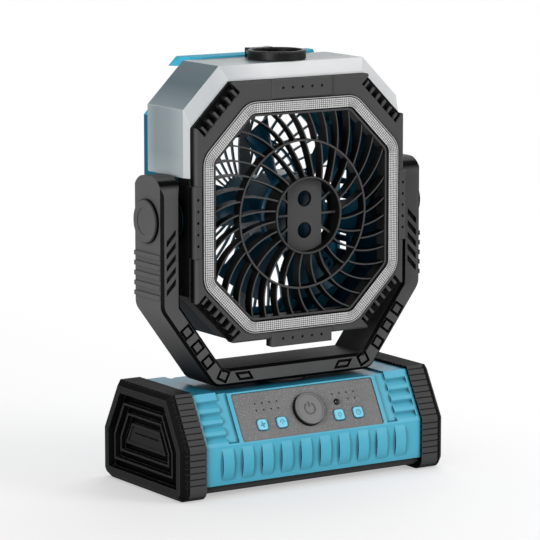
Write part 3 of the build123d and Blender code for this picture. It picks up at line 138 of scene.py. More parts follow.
class Finish(Nodes):
    # a material being built on its principled shader
    def __init__(self, name):
        self.material = bpy.data.materials.new(name)
        super().__init__(self.material)
        self.shader = self.tree.nodes["Principled BSDF"]
        self.coords = self.add("ShaderNodeTexCoord")
        self.place = self.coords.outputs["Object"]

    def noise(self, scale, detail, rough):
        node = self.add("ShaderNodeTexNoise", {"Scale": scale, "Detail": detail, "Roughness": rough})
        self.join(self.place, node.inputs["Vector"])
        return node.outputs[0]

    def ramp(self, source, stops):
        node = self.add("ShaderNodeValToRGB")
        marks = node.color_ramp.elements
        marks[0].position, marks[0].color = stops[0]
        marks[1].position, marks[1].color = stops[-1]
        for position, colour in stops[1:-1]:
            marks.new(position).color = colour
        self.join(source, node.inputs["Fac"])
        return node.outputs["Color"]

    def blend(self, share, first, second):
        node = self.add("ShaderNodeMix", data_type="RGBA")
        self.join(share, node.inputs["Factor"])
        for socket, value in zip((node.inputs[6], node.inputs[7]), (first, second)):
            if isinstance(value, tuple):
                socket.default_value = value
            else:
                self.join(value, socket)
        return node.outputs[2]

    def facing(self, way):
        # how squarely the surface faces a direction of the object, from -1 to 1
        dot = self.add("ShaderNodeVectorMath", {1: way}, operation="DOT_PRODUCT")
        self.join(self.coords.outputs["Normal"], dot.inputs[0])
        return dot.outputs["Value"]

    def squareTo(self, way):
        return self.maths("ABSOLUTE", self.facing(way))

    def along(self, axis):
        split = self.add("ShaderNodeSeparateXYZ")
        self.join(self.place, split.inputs[0])
        return split.outputs[axis]

    def crevice(self, reach, gapDeep=castLook["gapDeep"], gapOpen=castLook["gapOpen"]):
        # ambient occlusion, 1 deep in a gap and 0 in the open; finishes darken by it as painted shade
        node = self.add("ShaderNodeAmbientOcclusion", {"Distance": reach}, samples=castLook["gapSamples"])
        return self.fadeOut(node.outputs["AO"], gapDeep, gapOpen)

    def edges(self, radius):
        # rounded-edge normal, and how near a point is to an edge, which sets the painted edge highlight
        bevel = self.add("ShaderNodeBevel", {"Radius": radius}, samples=castLook["edgeSamples"])
        flat = self.add("ShaderNodeNewGeometry").outputs["Normal"]
        dot = self.add("ShaderNodeVectorMath", operation="DOT_PRODUCT")
        self.join(bevel.outputs["Normal"], dot.inputs[0])
        self.join(flat, dot.inputs[1])
        near = self.fadeOut(dot.outputs["Value"], castLook["edgeBent"], castLook["edgeFlat"])
        return bevel.outputs["Normal"], near

    def bump(self, height, strength, distance, normal):
        node = self.add("ShaderNodeBump", {"Strength": strength, "Distance": distance})
        self.join(height, node.inputs["Height"])
        self.join(normal, node.inputs["Normal"])
        return node.outputs["Normal"]


def cloudy(finish, look):
    # the cast colour, never quite even
    cloud = finish.noise(look["cloud"], castLook["cloudDetail"], castLook["cloudRough"])
    stops = [(castLook["cloudDark"], look["dark"]), (castLook["cloudLight"], look["light"])]
    return finish.ramp(cloud, stops)


def settle(finish, look, colour):
    # dark gaps where the look has them as painted shade, paler edges as painted highlights, and a fine
    # grain, the same way on every piece
    if "gap" in look:
        # painted shade: the gap colour where ambient occlusion finds a gap
        colour = finish.blend(finish.crevice(look["reach"]), colour, look["gap"])
    normal, near = finish.edges(look["edge"])
    # painted highlight: edges go over to the rim colour
    colour = finish.blend(finish.maths("MULTIPLY", near, look["wear"]), colour, look["rim"])
    finish.join(colour, finish.shader.inputs["Base Color"])
    grain = finish.noise(look["grain"], castLook["grainDetail"], castLook["grainRough"])
    smooth = look["rough"] - castLook["smoother"]
    coarse = look["rough"] + castLook["rougher"]
    roughness = finish.spread(grain, smooth, coarse, castLook["grainLow"], castLook["grainHigh"])
    finish.join(roughness, finish.shader.inputs["Roughness"])
    bumped = finish.bump(grain, look["depth"], castLook["grainHeight"], normal)
    finish.join(bumped, finish.shader.inputs["Normal"])
    finish.shader.inputs["Specular IOR Level"].default_value = look["gloss"]
    return finish.material


def mouldedPlastic(name, look):
    finish = Finish(name)
    return settle(finish, look, cloudy(finish, look))


def metal(name, look):
    finish = Finish(name)
    finish.shader.inputs["Metallic"].default_value = 1.0
    return settle(finish, look, cloudy(finish, look))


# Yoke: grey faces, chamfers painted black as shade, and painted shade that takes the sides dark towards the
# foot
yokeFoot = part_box("yoke_frame")[0].z
yokeLook = dict(dark=grey(79), light=grey(84), rim=grey(116), gap=grey(6), reach=7 * mm, cloud=24,
                grain=2600, depth=0.25, rough=0.5, gloss=0.05, edge=0.5 * mm, wear=0.3,
                chamfer=grey(6), lean=diagonal, chamferFade=(0.08, 0.2), footTone=grey(9),
                foot=yokeFoot + 6 * mm, footReach=52 * mm, footShare=0.96, sideFade=(0.3, 0.6))


def yokePlastic(name, look):
    finish = Finish(name)
    front = finish.squareTo((0, 1, 0))
    off = finish.maths("ABSOLUTE", finish.maths("SUBTRACT", front, look["lean"]))
    # painted shade: faces turned halfway between front and side take the black chamfer colour
    chamfer = finish.fadeOut(off, *look["chamferFade"])
    colour = finish.blend(chamfer, cloudy(finish, look), look["chamfer"])
    # painted shade: the sides go dark towards the foot
    reach = look["foot"] + look["footReach"]
    low = finish.spread(finish.along("Z"), look["footShare"], 0.0, look["foot"], reach)
    side = finish.fadeOut(front, *look["sideFade"])
    return settle(finish, look, finish.blend(finish.maths("MULTIPLY", low, side), colour, look["footTone"]))


yokeDark = yokePlastic("yokeDark", yokeLook)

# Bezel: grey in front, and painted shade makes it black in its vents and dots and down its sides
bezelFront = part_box("front_bezel")[0].y
bezelLook = dict(dark=grey(72), light=grey(77), rim=grey(120), gap=grey(6), reach=4 * mm, cloud=24,
                 grain=2600, depth=0.25, rough=0.5, gloss=0.06, edge=0.5 * mm, wear=0.35,
                 deep=grey(5), shallowEnd=bezelFront + 1.9 * mm, deepStart=bezelFront + 5 * mm,
                 dotFloor=bezelFront + 0.8 * mm, dotReach=0.07 * mm)


def bezelPlastic(name, look):
    finish = Finish(name)
    # painted shade: the deeper a point lies behind the front, and the floors of the dots, the blacker
    depth = finish.fadeIn(finish.along("Y"), look["shallowEnd"], look["deepStart"])
    dots = finish.maths("COMPARE", finish.along("Y"), look["dotFloor"], look["dotReach"])
    dark = finish.maths("MAXIMUM", depth, dots)
    return settle(finish, look, finish.blend(dark, cloudy(finish, look), look["deep"]))


bezelDark = bezelPlastic("bezelDark", bezelLook)

# Grille: black sides, and front edges painted grey as a painted highlight
finLook = dict(dark=grey(8), light=grey(11), front=grey(72), frontFade=(0.6, 0.95), rim=grey(80),
               cloud=24, grain=2600, depth=0.2, rough=0.46, gloss=0.1, edge=0.25 * mm, wear=0.2)


def finPlastic(name, look):
    finish = Finish(name)
    # painted highlight: faces turned forwards go grey
    front = finish.fadeIn(finish.facing((0, -1, 0)), *look["frontFade"])
    return settle(finish, look, finish.blend(front, cloudy(finish, look), look["front"]))


finDark = finPlastic("finDark", finLook)

# Pivot covers, main button and small buttons: one colour on the face, and painted shade in a darker one on
# the wall
faceFade = (0.6, 0.9)  # how squarely a surface points its way, from wall to face
coverLook = dict(dark=grey(79), light=grey(84), wall=grey(4), rim=grey(110), cloud=24, grain=2600,
                 depth=0.25, rough=0.5, gloss=0.05, edge=0.4 * mm, wear=0.3, way=(1, 0, 0))
discLook = dict(dark=grey(120), light=grey(127), wall=grey(5), rim=grey(146), cloud=40, grain=3000,
                depth=0.3, rough=0.5, gloss=0.2, edge=0.4 * mm, wear=0.4, way=tuple(outward))
buttonLook = dict(dark=srgb(112, 200, 224), light=srgb(122, 206, 229), wall=srgb(24, 96, 126),
                  rim=srgb(160, 222, 236), cloud=60, grain=3000, depth=0.1, rough=0.34, gloss=0.3,
                  edge=0.4 * mm, wear=0.3, way=tuple(outward))


def facedPlastic(name, look):
    finish = Finish(name)
    face = finish.fadeIn(finish.squareTo(look["way"]), *faceFade)
    # painted shade: the wall, away from the face, takes the darker wall colour
    return settle(finish, look, finish.blend(face, look["wall"], cloudy(finish, look)))


coverDark = facedPlastic("coverDark", coverLook)
discGrey = facedPlastic("discGrey", discLook)
buttonCyan = facedPlastic("buttonCyan", buttonLook)

# Plain dark mouldings, hook and rubber caps
partLook = dict(dark=grey(48), light=grey(54), rim=grey(84), gap=grey(6), reach=8 * mm, cloud=24,
                grain=2600, depth=0.25, rough=0.5, gloss=0.12, edge=0.6 * mm, wear=0.35)
hookLook = dict(dark=grey(14), light=grey(18), rim=grey(108), cloud=24, grain=2600, depth=0.2,
                rough=0.4, gloss=0.16, edge=0.5 * mm, wear=0.6)
capLook = dict(dark=grey(15), light=grey(20), rim=grey(112), gap=grey(2), reach=5 * mm, cloud=30,
               grain=2400, depth=0.3, rough=0.4, gloss=0.01, edge=0.3 * mm, wear=0.6,
               front=grey(72), frontFade=(0.4, 0.8), endFade=(0.8, 0.97), valley=grey(2), ridge=grey(37),
               outer=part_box("end_cap_right")[1].x, valleyDepth=5.4 * mm, ridgeDepth=4.6 * mm,
               bandDepth=6.2 * mm)
partDark = mouldedPlastic("partDark", partLook)
hookDark = mouldedPlastic("hookDark", hookLook)


def capPlastic(name, look):
    # the ends are black between their ridges as painted shade, with the ridges paler as painted light, and
    # the bands that face forwards are paler as a painted highlight
    finish = Finish(name)
    end = finish.fadeIn(finish.squareTo((1, 0, 0)), *look["endFade"])
    reach = finish.maths("ABSOLUTE", finish.along("X"))
    floorOfValley = look["outer"] - look["valleyDepth"]
    height = finish.fadeIn(reach, floorOfValley, look["outer"] - look["ridgeDepth"])
    colour = finish.blend(end, cloudy(finish, look), finish.blend(height, look["valley"], look["ridge"]))
    # painted highlight on the bands that face forwards
    front = finish.fadeIn(finish.facing((0, -1, 0)), *look["frontFade"])
    band = finish.maths("LESS_THAN", reach, look["outer"] - look["bandDepth"])
    return settle(finish, look, finish.blend(finish.maths("MULTIPLY", front, band), colour, look["front"]))


capRubber = capPlastic("capRubber", capLook)

# Blue shells
baseLook = dict(dark=srgb(74, 168, 195), light=srgb(84, 177, 203), rim=srgb(150, 216, 232), cloud=18,
                grain=2200, depth=0.12, rough=0.34, gloss=0.22, edge=0.35 * mm, wear=0.7,
                groove=srgb(6, 76, 102), grooveReach=3 * mm, grooveDeep=0.35, grooveOpen=0.97,
                grooveShare=0.3, wallShare=0.9, wallFade=(0.2, 0.6), shade=srgb(4, 40, 54),
                shadeReach=24 * mm, deck=srgb(40, 138, 168), deckFade=(0.85, 0.97))
shellLook = dict(dark=srgb(58, 164, 194), light=srgb(66, 172, 201), rim=srgb(120, 204, 222), cloud=18,
                 grain=2200, depth=0.12, rough=0.45, gloss=0.01, edge=0.7 * mm, wear=0.4,
                 flank=srgb(26, 90, 114), flankFade=(0.8, 0.97), under=srgb(8, 38, 52),
                 underFade=(0.15, 0.6), inside=srgb(12, 54, 74), insideStart=-1 * mm, boss=grey(8),
                 pivot=middleOf("tilt_washer_left"), bossRadius=17 * mm, bossStart=80 * mm)


def basePlastic(name, look):
    # painted shade: dark grooves and short plank walls, a darker deck, and shade where the yoke stands
    # close over it
    finish = Finish(name)
    # painted shade on sideways walls and in narrow grooves
    walls = finish.spread(finish.squareTo((1, 0, 0)), 0.0, look["wallShare"], *look["wallFade"])
    narrow = finish.crevice(look["grooveReach"], look["grooveDeep"], look["grooveOpen"])
    dark = finish.maths("MAXIMUM", walls, finish.maths("MULTIPLY", narrow, look["grooveShare"]))
    # painted shade: the faces that look up take the darker deck colour
    top = finish.fadeIn(finish.facing((0, 0, 1)), *look["deckFade"])
    colour = finish.blend(top, cloudy(finish, look), look["deck"])
    colour = finish.blend(dark, colour, look["groove"])
    colour = finish.blend(finish.crevice(look["shadeReach"]), colour, look["shade"])
    return settle(finish, look, colour)


def shellPlastic(name, look):
    # painted shade: darker flanks, dark underneath and inside, and dark on the bosses that carry the pivots
    finish = Finish(name)
    # painted shade on the faces that look sideways
    flank = finish.fadeIn(finish.squareTo((1, 0, 0)), *look["flankFade"])
    colour = finish.blend(flank, cloudy(finish, look), look["flank"])
    # painted shade on the faces that look down
    under = finish.fadeIn(finish.facing((0, 0, -1)), *look["underFade"])
    colour = finish.blend(under, colour, look["under"])
    # painted shade on faces that look in towards the middle
    sideways = finish.maths("MULTIPLY", finish.along("X"), finish.facing((1, 0, 0)))
    rise = finish.maths("SUBTRACT", finish.along("Z"), look["pivot"].z)
    upwards = finish.maths("MULTIPLY", rise, finish.facing((0, 0, 1)))
    inside = finish.maths("LESS_THAN", finish.maths("ADD", sideways, upwards), look["insideStart"])
    colour = finish.blend(inside, colour, look["inside"])
    # painted shade: the bosses round the pivots go dark
    offY = finish.maths("SUBTRACT", finish.along("Y"), look["pivot"].y)
    squares = (finish.maths("MULTIPLY", offY, offY), finish.maths("MULTIPLY", rise, rise))
    radius = finish.maths("SQRT", finish.maths("ADD", *squares))
    near = finish.maths("LESS_THAN", radius, look["bossRadius"])
    outside = finish.maths("GREATER_THAN", finish.maths("ABSOLUTE", finish.along("X")), look["bossStart"])
    return settle(finish, look, finish.blend(finish.maths("MULTIPLY", near, outside), colour, look["boss"]))


baseBlue = basePlastic("baseBlue", baseLook)
shellBlue = shellPlastic("shellBlue", shellLook)

# Rear grille: four broad struts paler than the thin bars
rearLook = dict(dark=srgb(36, 104, 130), light=srgb(44, 114, 140), rim=srgb(80, 150, 172), cloud=18,
                grain=2200, depth=0.12, rough=0.4, gloss=0.3, edge=0.4 * mm, wear=0.3,
                strut=srgb(150, 158, 162), half=4.5 * mm, strutFade=0.3 * mm, middle=headMiddle.z)


def strutPlastic(name, look):
    finish = Finish(name)
    offAxis = finish.maths("ABSOLUTE", finish.along("X"))
    height = finish.maths("ABSOLUTE", finish.maths("SUBTRACT", finish.along("Z"), look["middle"]))
    nearest = finish.maths("MINIMUM", offAxis, height)
    share = finish.fadeOut(nearest, look["half"], look["half"] + look["strutFade"])
    return settle(finish, look, finish.blend(share, cloudy(finish, look), look["strut"]))


rearBars = strutPlastic("rearBars", rearLook)

# Panel: grey with fine light flecks
panelLook = dict(dark=grey(107), light=grey(115), rim=grey(140), glint=grey(152), fleck=1500,
                 fleckDetail=1.0, fleckRough=0.4, fleckFade=(0.58, 0.7), cloud=30, grain=3000,
                 depth=0.4, rough=0.52, gloss=0.25, edge=0.4 * mm, wear=0.4)


def sparklePlastic(name, look):
    finish = Finish(name)
    specks = finish.noise(look["fleck"], look["fleckDetail"], look["fleckRough"])
    flecks = finish.fadeIn(specks, *look["fleckFade"])
    return settle(finish, look, finish.blend(flecks, cloudy(finish, look), look["glint"]))


panelGrey = sparklePlastic("panelGrey", panelLook)

# Lamp: painted light and shade: the sloping front band is brightest, with painted shade low down and at the
# left; the walls behind are greyer as painted shade, lighter at the foot, and the slanted corners go from a
# painted highlight low down to painted shade higher up
lampLow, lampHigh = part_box("lamp_diffuser")
lampLook = dict(dark=srgb(222, 224, 225), light=srgb(229, 231, 232), rim=srgb(214, 218, 220), cloud=12,
                grain=1800, depth=0.06, rough=0.36, gloss=0.12, edge=1.2 * mm, wear=0.5,
                front=lampLow.y, back=lampHigh.y, foot=lampLow.z, top=lampHigh.z,
                walls=[(0.1, srgb(150, 158, 161)), (0.45, srgb(128, 138, 141)),
                       (0.8, srgb(120, 131, 135)), (1.0, srgb(140, 149, 152))],
                footReach=16 * mm, footShare=0.4, footTone=srgb(170, 177, 180),
                corners=[(0.0, srgb(166, 174, 177)), (0.2, srgb(122, 134, 139)),
                         (0.6, srgb(92, 106, 112)), (1.0, srgb(102, 115, 120))],
                cornerFoot=lampHigh.z - 36 * mm, cornerFade=(0.9, 0.97),
                bandFade=(0.08, 0.3), bandTone=srgb(120, 126, 128), bandReach=34 * mm,
                leftTone=srgb(184, 188, 190), leftStart=-24 * mm, leftEnd=-70 * mm,
                milk=0.2, milkReach=5 * mm)


def milkyPlastic(name, look):
    finish = Finish(name)
    band = finish.fadeIn(finish.facing((0, -1, 0)), *look["bandFade"])
    # painted shade: the walls grey from front to back
    depth = finish.fadeIn(finish.along("Y"), look["front"], look["back"])
    wall = finish.ramp(depth, look["walls"])
    height = finish.along("Z")
    # painted light: the walls go lighter near the foot
    low = finish.spread(height, look["footShare"], 0.0, look["foot"], look["foot"] + look["footReach"])
    wall = finish.blend(low, wall, look["footTone"])
    # painted highlight low on the slanted corners, painted shade higher up
    slants = [finish.squareTo((side * diagonal, 0, diagonal)) for side in (1, -1)]
    corner = finish.fadeIn(finish.maths("MAXIMUM", *slants), *look["cornerFade"])
    slope = finish.ramp(finish.fadeIn(height, look["cornerFoot"], look["top"]), look["corners"])
    wall = finish.blend(corner, wall, slope)
    # painted shade: the band dims low down
    dim = finish.fadeOut(height, look["foot"], look["foot"] + look["bandReach"])
    bright = finish.blend(dim, cloudy(finish, look), look["bandTone"])
    # painted shade: the band goes greyer towards the left
    left = finish.fadeIn(finish.along("X"), look["leftStart"], look["leftEnd"])
    bright = finish.blend(left, bright, look["leftTone"])
    finish.shader.inputs["Subsurface Weight"].default_value = look["milk"]
    finish.shader.inputs["Subsurface Radius"].default_value = (look["milkReach"],) * 3
    finish.shader.inputs["Subsurface Scale"].default_value = 1.0
    return settle(finish, look, finish.blend(band, wall, bright))


milkyLamp = milkyPlastic("milkyLamp", lampLook)

# Blades, inner parts, and the small pieces of the panel, the lens and the signs
bladeLook = dict(dark=srgb(14, 62, 84), light=srgb(20, 74, 97), rim=srgb(50, 116, 138), cloud=14,
                 grain=2000, depth=0.08, rough=0.34, gloss=0.4, edge=0.6 * mm, wear=0.3)
steelLook = dict(dark=grey(122), light=grey(150), rim=grey(190), cloud=80, grain=3000, depth=0.2,
                 rough=0.32, gloss=0.5, edge=0.3 * mm, wear=0.5)
boardLook = dict(dark=srgb(20, 84, 50), light=srgb(30, 100, 60), rim=srgb(60, 120, 84), cloud=60,
                 grain=2500, depth=0.2, rough=0.45, gloss=0.5, edge=0.3 * mm, wear=0.3)
gearLook = dict(dark=srgb(214, 210, 198), light=srgb(226, 222, 210), rim=srgb(235, 232, 222), cloud=50,
                grain=2500, depth=0.15, rough=0.45, gloss=0.5, edge=0.3 * mm, wear=0.3)
cellLook = dict(dark=srgb(40, 74, 140), light=srgb(50, 86, 152), rim=srgb(110, 140, 190), cloud=40,
                grain=2500, depth=0.1, rough=0.35, gloss=0.5, edge=0.3 * mm, wear=0.3)
remoteLook = dict(dark=srgb(10, 7, 9), light=srgb(15, 10, 12), rim=srgb(34, 26, 28), cloud=60, grain=900,
                  depth=0.02, rough=0.08, gloss=0.5, edge=0.3 * mm, wear=0.2)
dotLook = dict(dark=grey(22), light=grey(28), rim=grey(46), cloud=90, grain=2500, depth=0.1, rough=0.4,
               gloss=0.2, edge=0.2 * mm, wear=0.2)
lensLook = dict(dark=grey(9), light=grey(13), rim=grey(40), cloud=40, grain=1500, depth=0.05, rough=0.4,
                gloss=0.06, edge=0.4 * mm, wear=0.3)
signLook = dict(dark=srgb(46, 122, 152), light=srgb(54, 132, 162), rim=srgb(110, 180, 204), cloud=60,
                grain=3000, depth=0.1, rough=0.4, gloss=0.25, edge=0.1 * mm, wear=0.2)
powerLook = dict(dark=grey(84), light=grey(92), rim=grey(140), cloud=40, grain=3000, depth=0.3, rough=0.5,
                 gloss=0.2, edge=0.2 * mm, wear=0.4)
# the bead's pale grey is a painted highlight along the lens's rim
beadLook = dict(dark=grey(166), light=grey(178), rim=grey(200), cloud=40, grain=1500, depth=0.05, rough=0.4,
                gloss=0.3, edge=0.2 * mm, wear=0.3)
bladeTeal = mouldedPlastic("bladeTeal", bladeLook)
plainSteel = metal("plainSteel", steelLook)
boardResin = mouldedPlastic("boardResin", boardLook)
gearPlastic = mouldedPlastic("gearPlastic", gearLook)
cellWrap = mouldedPlastic("cellWrap", cellLook)
remoteFilter = mouldedPlastic("remoteFilter", remoteLook)
dotPlastic = mouldedPlastic("dotPlastic", dotLook)
lensPlastic = mouldedPlastic("lensPlastic", lensLook)
signBlue = mouldedPlastic("signBlue", signLook)
powerGrey = mouldedPlastic("powerGrey", powerLook)
beadGrey = mouldedPlastic("beadGrey", beadLook)

coats = [
    (baseBlue, ["base_shell"]),
    (shellBlue, ["rear_housing"]),
    (rearBars, ["rear_grille"]),
    (yokeDark, ["yoke_frame"]),
    (bezelDark, ["front_bezel"]),
    (finDark, ["front_grille"]),
    (coverDark, ["pivot_cover_right", "pivot_cover_left"]),
    # the swivel bush is dark as painted shade, where it stands under the yoke
    (partDark, ["base_bottom_plate", "tilt_washer_right", "tilt_washer_left", "tilt_axle_right",
                "tilt_axle_left", "swivel_post", "swivel_bush", "battery_tray"]),
    (hookDark, ["hook_base", "hanging_hook"]),
    (panelGrey, ["control_panel"]),
    (discGrey, ["main_button"]),
    (capRubber, ["end_cap_right", "end_cap_left"]),
    (buttonCyan, ["fan_button", "swing_button", "light_button", "timer_button"]),
    (bladeTeal, ["fan_impeller"]),
    (lensPlastic, ["light_ring_lens"]),
    (milkyLamp, ["lamp_diffuser"]),
    (boardResin, ["control_board", "charge_board", "light_ring_board", "lamp_strip"]),
    (gearPlastic, ["swivel_gear", "drive_pinion", "swivel_retainer"]),
    (plainSteel, ["base_screws", "head_screws", "hook_pin", "motor_shaft", "charge_socket", "fan_motor",
                  "oscillation_motor"]),
    (cellWrap, ["battery_cells"]),
    (remoteFilter, ["remote_window"]),
    (dotPlastic, ["indicator_lights"]),
]
for material, names in coats:
    for name in names:
        mesh = cadNodes[name].data
        mesh.materials.clear()
        mesh.materials.append(material)
print("finishes on", sum(len(names) for _, names in coats), "nodes")


# Pieces added to the frame
def addPiece(name, mesh, material, body):
    data = bpy.data.meshes.new(name)
    mesh.to_mesh(data)
    mesh.free()
    data.materials.append(material)
    piece = bpy.data.objects.new(name, data)
    scene.collection.objects.link(piece)
    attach(piece, body)


# Light ring: a strip of cells drawn round the lens, each cell raised into a small flat-topped prism
ringLook = dict(half=(lensHigh.x - lensLow.x) / 2, corner=38 * mm, round=17 * mm, band=9.5 * mm,
                merge=0.03 * mm)
prismLook = dict(outer=1.6 * mm, inner=0.7 * mm, rows=5, cell=1.7 * mm, arcCells=8, lift=0.02 * mm,
                 groove=0.3 * mm, rise=0.3 * mm, deep=grey(10), deepEnd=0.1, dark=grey(88), darkEnd=0.7,
                 light=grey(208), lightStart=0.98, rim=grey(208), grain=1500, depth=0.05, rough=0.3,
                 gloss=0.15, edge=0.05 * mm, wear=0.1)
beadShape = dict(inset=0.45 * mm, width=0.6 * mm, rise=0.3 * mm, cell=90 * mm, arcCells=8)
eighthTurn = math.pi / 4
bendRun = ringLook["round"] * math.tan(eighthTurn / 2)  # what a bend takes off the run on either side


def prismPlastic(name, look):
    # pale on top, dark in the groove round it
    finish = Finish(name)
    top = lensLow.y - look["lift"]
    height = finish.fadeIn(finish.along("Y"), top, top - look["rise"])
    stops = [(look["deepEnd"], look["deep"]), (look["darkEnd"], look["dark"]),
             (look["lightStart"], look["light"])]
    return settle(finish, look, finish.ramp(height, stops))


def drawRound(mesh, row, start, cell, arcCells):
    # carries a row of edges once round the ring: side, bend, slant, bend, four times over
    side = 2 * (ringLook["half"] - ringLook["corner"]) - 2 * bendRun
    slant = ringLook["corner"] * math.sqrt(2) - 2 * bendRun
    eighth = Matrix.Rotation(eighthTurn, 3, "Y")
    rim = start.copy()
    heading = Vector((1, 0, 0))
    inwards = Vector((0, 0, -1))
    for turn in range(8):
        run = slant if turn % 2 else side
        steps = max(1, round(run / cell))
        drawn = bmesh.ops.spin(mesh, geom=row, cent=rim, axis=(0, 1, 0), dvec=heading * run / steps,
                               angle=0, steps=steps)
        rim = rim + heading * run
        hub = rim + inwards * ringLook["round"]
        drawn = bmesh.ops.spin(mesh, geom=drawn["geom_last"], cent=hub, axis=(0, 1, 0),
                               angle=eighthTurn, steps=arcCells)
        row = drawn["geom_last"]
        rim = hub + eighth @ (rim - hub)
        heading = eighth @ heading
        inwards = eighth @ inwards
    bmesh.ops.remove_doubles(mesh, verts=mesh.verts, dist=ringLook["merge"])


def ringStart():
    # where the top side begins, on the lens's outer line
    reach = ringLook["half"] - ringLook["corner"] - bendRun
    return Vector((headMiddle.x - reach, lensLow.y, headMiddle.z + ringLook["half"]))


def lensPrisms(material, look):
    mesh = bmesh.new()
    start = ringStart() - Vector((0, look["lift"], 0))
    first = bmesh.ops.create_vert(mesh, co=start - Vector((0, 0, look["outer"])))["vert"]
    step = (ringLook["band"] - look["outer"] - look["inner"]) / look["rows"]
    bmesh.ops.spin(mesh, geom=first, cent=start, axis=(0, 1, 0), dvec=(0, 0, -step), angle=0,
                   steps=look["rows"])
    drawRound(mesh, mesh.verts[:] + mesh.edges[:], start, look["cell"], look["arcCells"])
    bmesh.ops.reverse_faces(mesh, faces=[face for face in mesh.faces if face.normal.y > 0])
    bmesh.ops.inset_individual(mesh, faces=mesh.faces[:], thickness=look["groove"], depth=look["rise"])
    addPiece("lensPrisms", mesh, material, "head")


def lensBead(material, look):
    # a thin raised bead along the lens's outer line, pale as a painted highlight on the lens's rim; its
    # long cell makes each straight run one step
    mesh = bmesh.new()
    start = ringStart()
    flat = Matrix.Diagonal((look["width"], 2 * look["rise"], 1, 1))
    upright = Matrix.Rotation(math.pi / 2, 4, "Y") @ flat
    place = Matrix.Translation(start - Vector((0, 0, look["inset"] + look["width"] / 2))) @ upright
    corners = bmesh.ops.create_grid(mesh, x_segments=1, y_segments=1, size=0.5, matrix=place)["verts"]
    bmesh.ops.delete(mesh, geom=mesh.faces[:], context="FACES_ONLY")
    drawRound(mesh, corners + mesh.edges[:], start, look["cell"], look["arcCells"])
    bmesh.ops.recalc_face_normals(mesh, faces=mesh.faces)
    addPiece("lensBead", mesh, material, "head")


lensPrisms(prismPlastic("lensPrism", prismLook), prismLook)
lensBead(beadGrey, beadShape)
print("light ring dressed")

# Raised signs on the buttons, drawn flat and then laid on the face: X across, Y up, Z out
reliefShape = dict(discSides=18, discTop=0.46, arcSteps=24)


def raisedBar(mesh, middle, size, height, turn=0.0):
    place = Matrix.Translation((middle[0], middle[1], height / 2)) @ Matrix.Rotation(turn, 4, "Z")
    bmesh.ops.create_cube(mesh, size=1, matrix=place @ Matrix.Diagonal((size[0], size[1], height, 1)))


def raisedDisc(mesh, middle, size, height, turn=0.0):
    place = Matrix.Rotation(turn, 4, "Z") @ Matrix.Translation((middle[0], middle[1], height / 2))
    bmesh.ops.create_cone(mesh, cap_ends=True, segments=reliefShape["discSides"], radius1=0.5,
                          radius2=reliefShape["discTop"], depth=1,
                          matrix=place @ Matrix.Diagonal((size[0], size[1], height, 1)))


def raisedArc(mesh, look):
    # an arc of the pen's width; its start and sweep are in degrees
    upright = Matrix.Rotation(math.pi / 2, 4, "X") @ Matrix.Diagonal((look["pen"], look["height"], 1, 1))
    turn = Matrix.Rotation(math.radians(look["start"]), 4, "Z")
    place = turn @ Matrix.Translation((look["radius"], 0, look["height"] / 2)) @ upright
    corners = bmesh.ops.create_grid(mesh, x_segments=1, y_segments=1, size=0.5, matrix=place)["verts"]
    edges = list({edge for corner in corners for edge in corner.link_edges})
    faces = list({face for corner in corners for face in corner.link_faces})
    closed = look["sweep"] >= 360
    if closed:
        bmesh.ops.delete(mesh, geom=faces, context="FACES_ONLY")
        faces = []
    bmesh.ops.spin(mesh, geom=corners + edges + faces, cent=(0, 0, 0), axis=(0, 0, 1),
                   angle=math.radians(look["sweep"]), steps=reliefShape["arcSteps"], use_merge=closed)


signShape = dict(pen=0.45 * mm, height=0.16 * mm, sink=0.02 * mm)  # shared by the four small signs
fanShape = dict(signShape, hub=0.9 * mm, blades=4, blade=(1.9 * mm, 1.15 * mm),
                bladeSpot=(1.3 * mm, 0.45 * mm))


def fanSign(mesh, look):
    raisedDisc(mesh, (0, 0), (look["hub"], look["hub"]), look["height"])
    for i in range(look["blades"]):
        turn = i * 2 * math.pi / look["blades"]
        raisedDisc(mesh, look["bladeSpot"], look["blade"], look["height"], turn)


swingShape = dict(signShape, radius=1.75 * mm, start=20, sweep=140, stem=2.2 * mm, stemMiddle=-0.7 * mm,
                  tipSpot=(1.72 * mm, 0.25 * mm), tipFoot=0.75 * mm, tipTop=0.65 * mm)


def swingSign(mesh, look):
    raisedArc(mesh, look)
    raisedBar(mesh, (0, look["stemMiddle"]), (look["pen"], look["stem"]), look["height"])
    reach, rise = look["tipSpot"]
    for side in (-1, 1):
        spot = Matrix.Translation((reach * side, rise, look["height"] / 2))
        bmesh.ops.create_cone(mesh, cap_ends=True, segments=3, radius1=look["tipFoot"],
                              radius2=look["tipTop"], depth=look["height"],
                              matrix=spot @ Matrix.Rotation(-math.pi / 2, 4, "Z"))


lampShape = dict(signShape, radius=1.3 * mm, start=-50, sweep=280,
                 bars=((-1.35 * mm, 1.5 * mm), (-2.1 * mm, 1.0 * mm)))


def lampSign(mesh, look):
    raisedArc(mesh, look)
    for drop, width in look["bars"]:
        raisedBar(mesh, (0, drop), (width, look["pen"]), look["height"])


clockShape = dict(signShape, radius=1.95 * mm, start=0, sweep=360, minute=1.5 * mm,
                  minuteMiddle=0.6 * mm, hour=1.2 * mm, hourMiddle=0.45 * mm)


def clockSign(mesh, look):
    raisedArc(mesh, look)
    raisedBar(mesh, (0, look["minuteMiddle"]), (look["pen"], look["minute"]), look["height"])
    raisedBar(mesh, (look["hourMiddle"], 0), (look["hour"], look["pen"]), look["height"])


# The power sign stands in the large button's dish, below its rim
powerShape = dict(pen=0.95 * mm, height=0.3 * mm, sink=0.52 * mm, radius=4.3 * mm, start=122, sweep=296,
                  barShare=0.75)


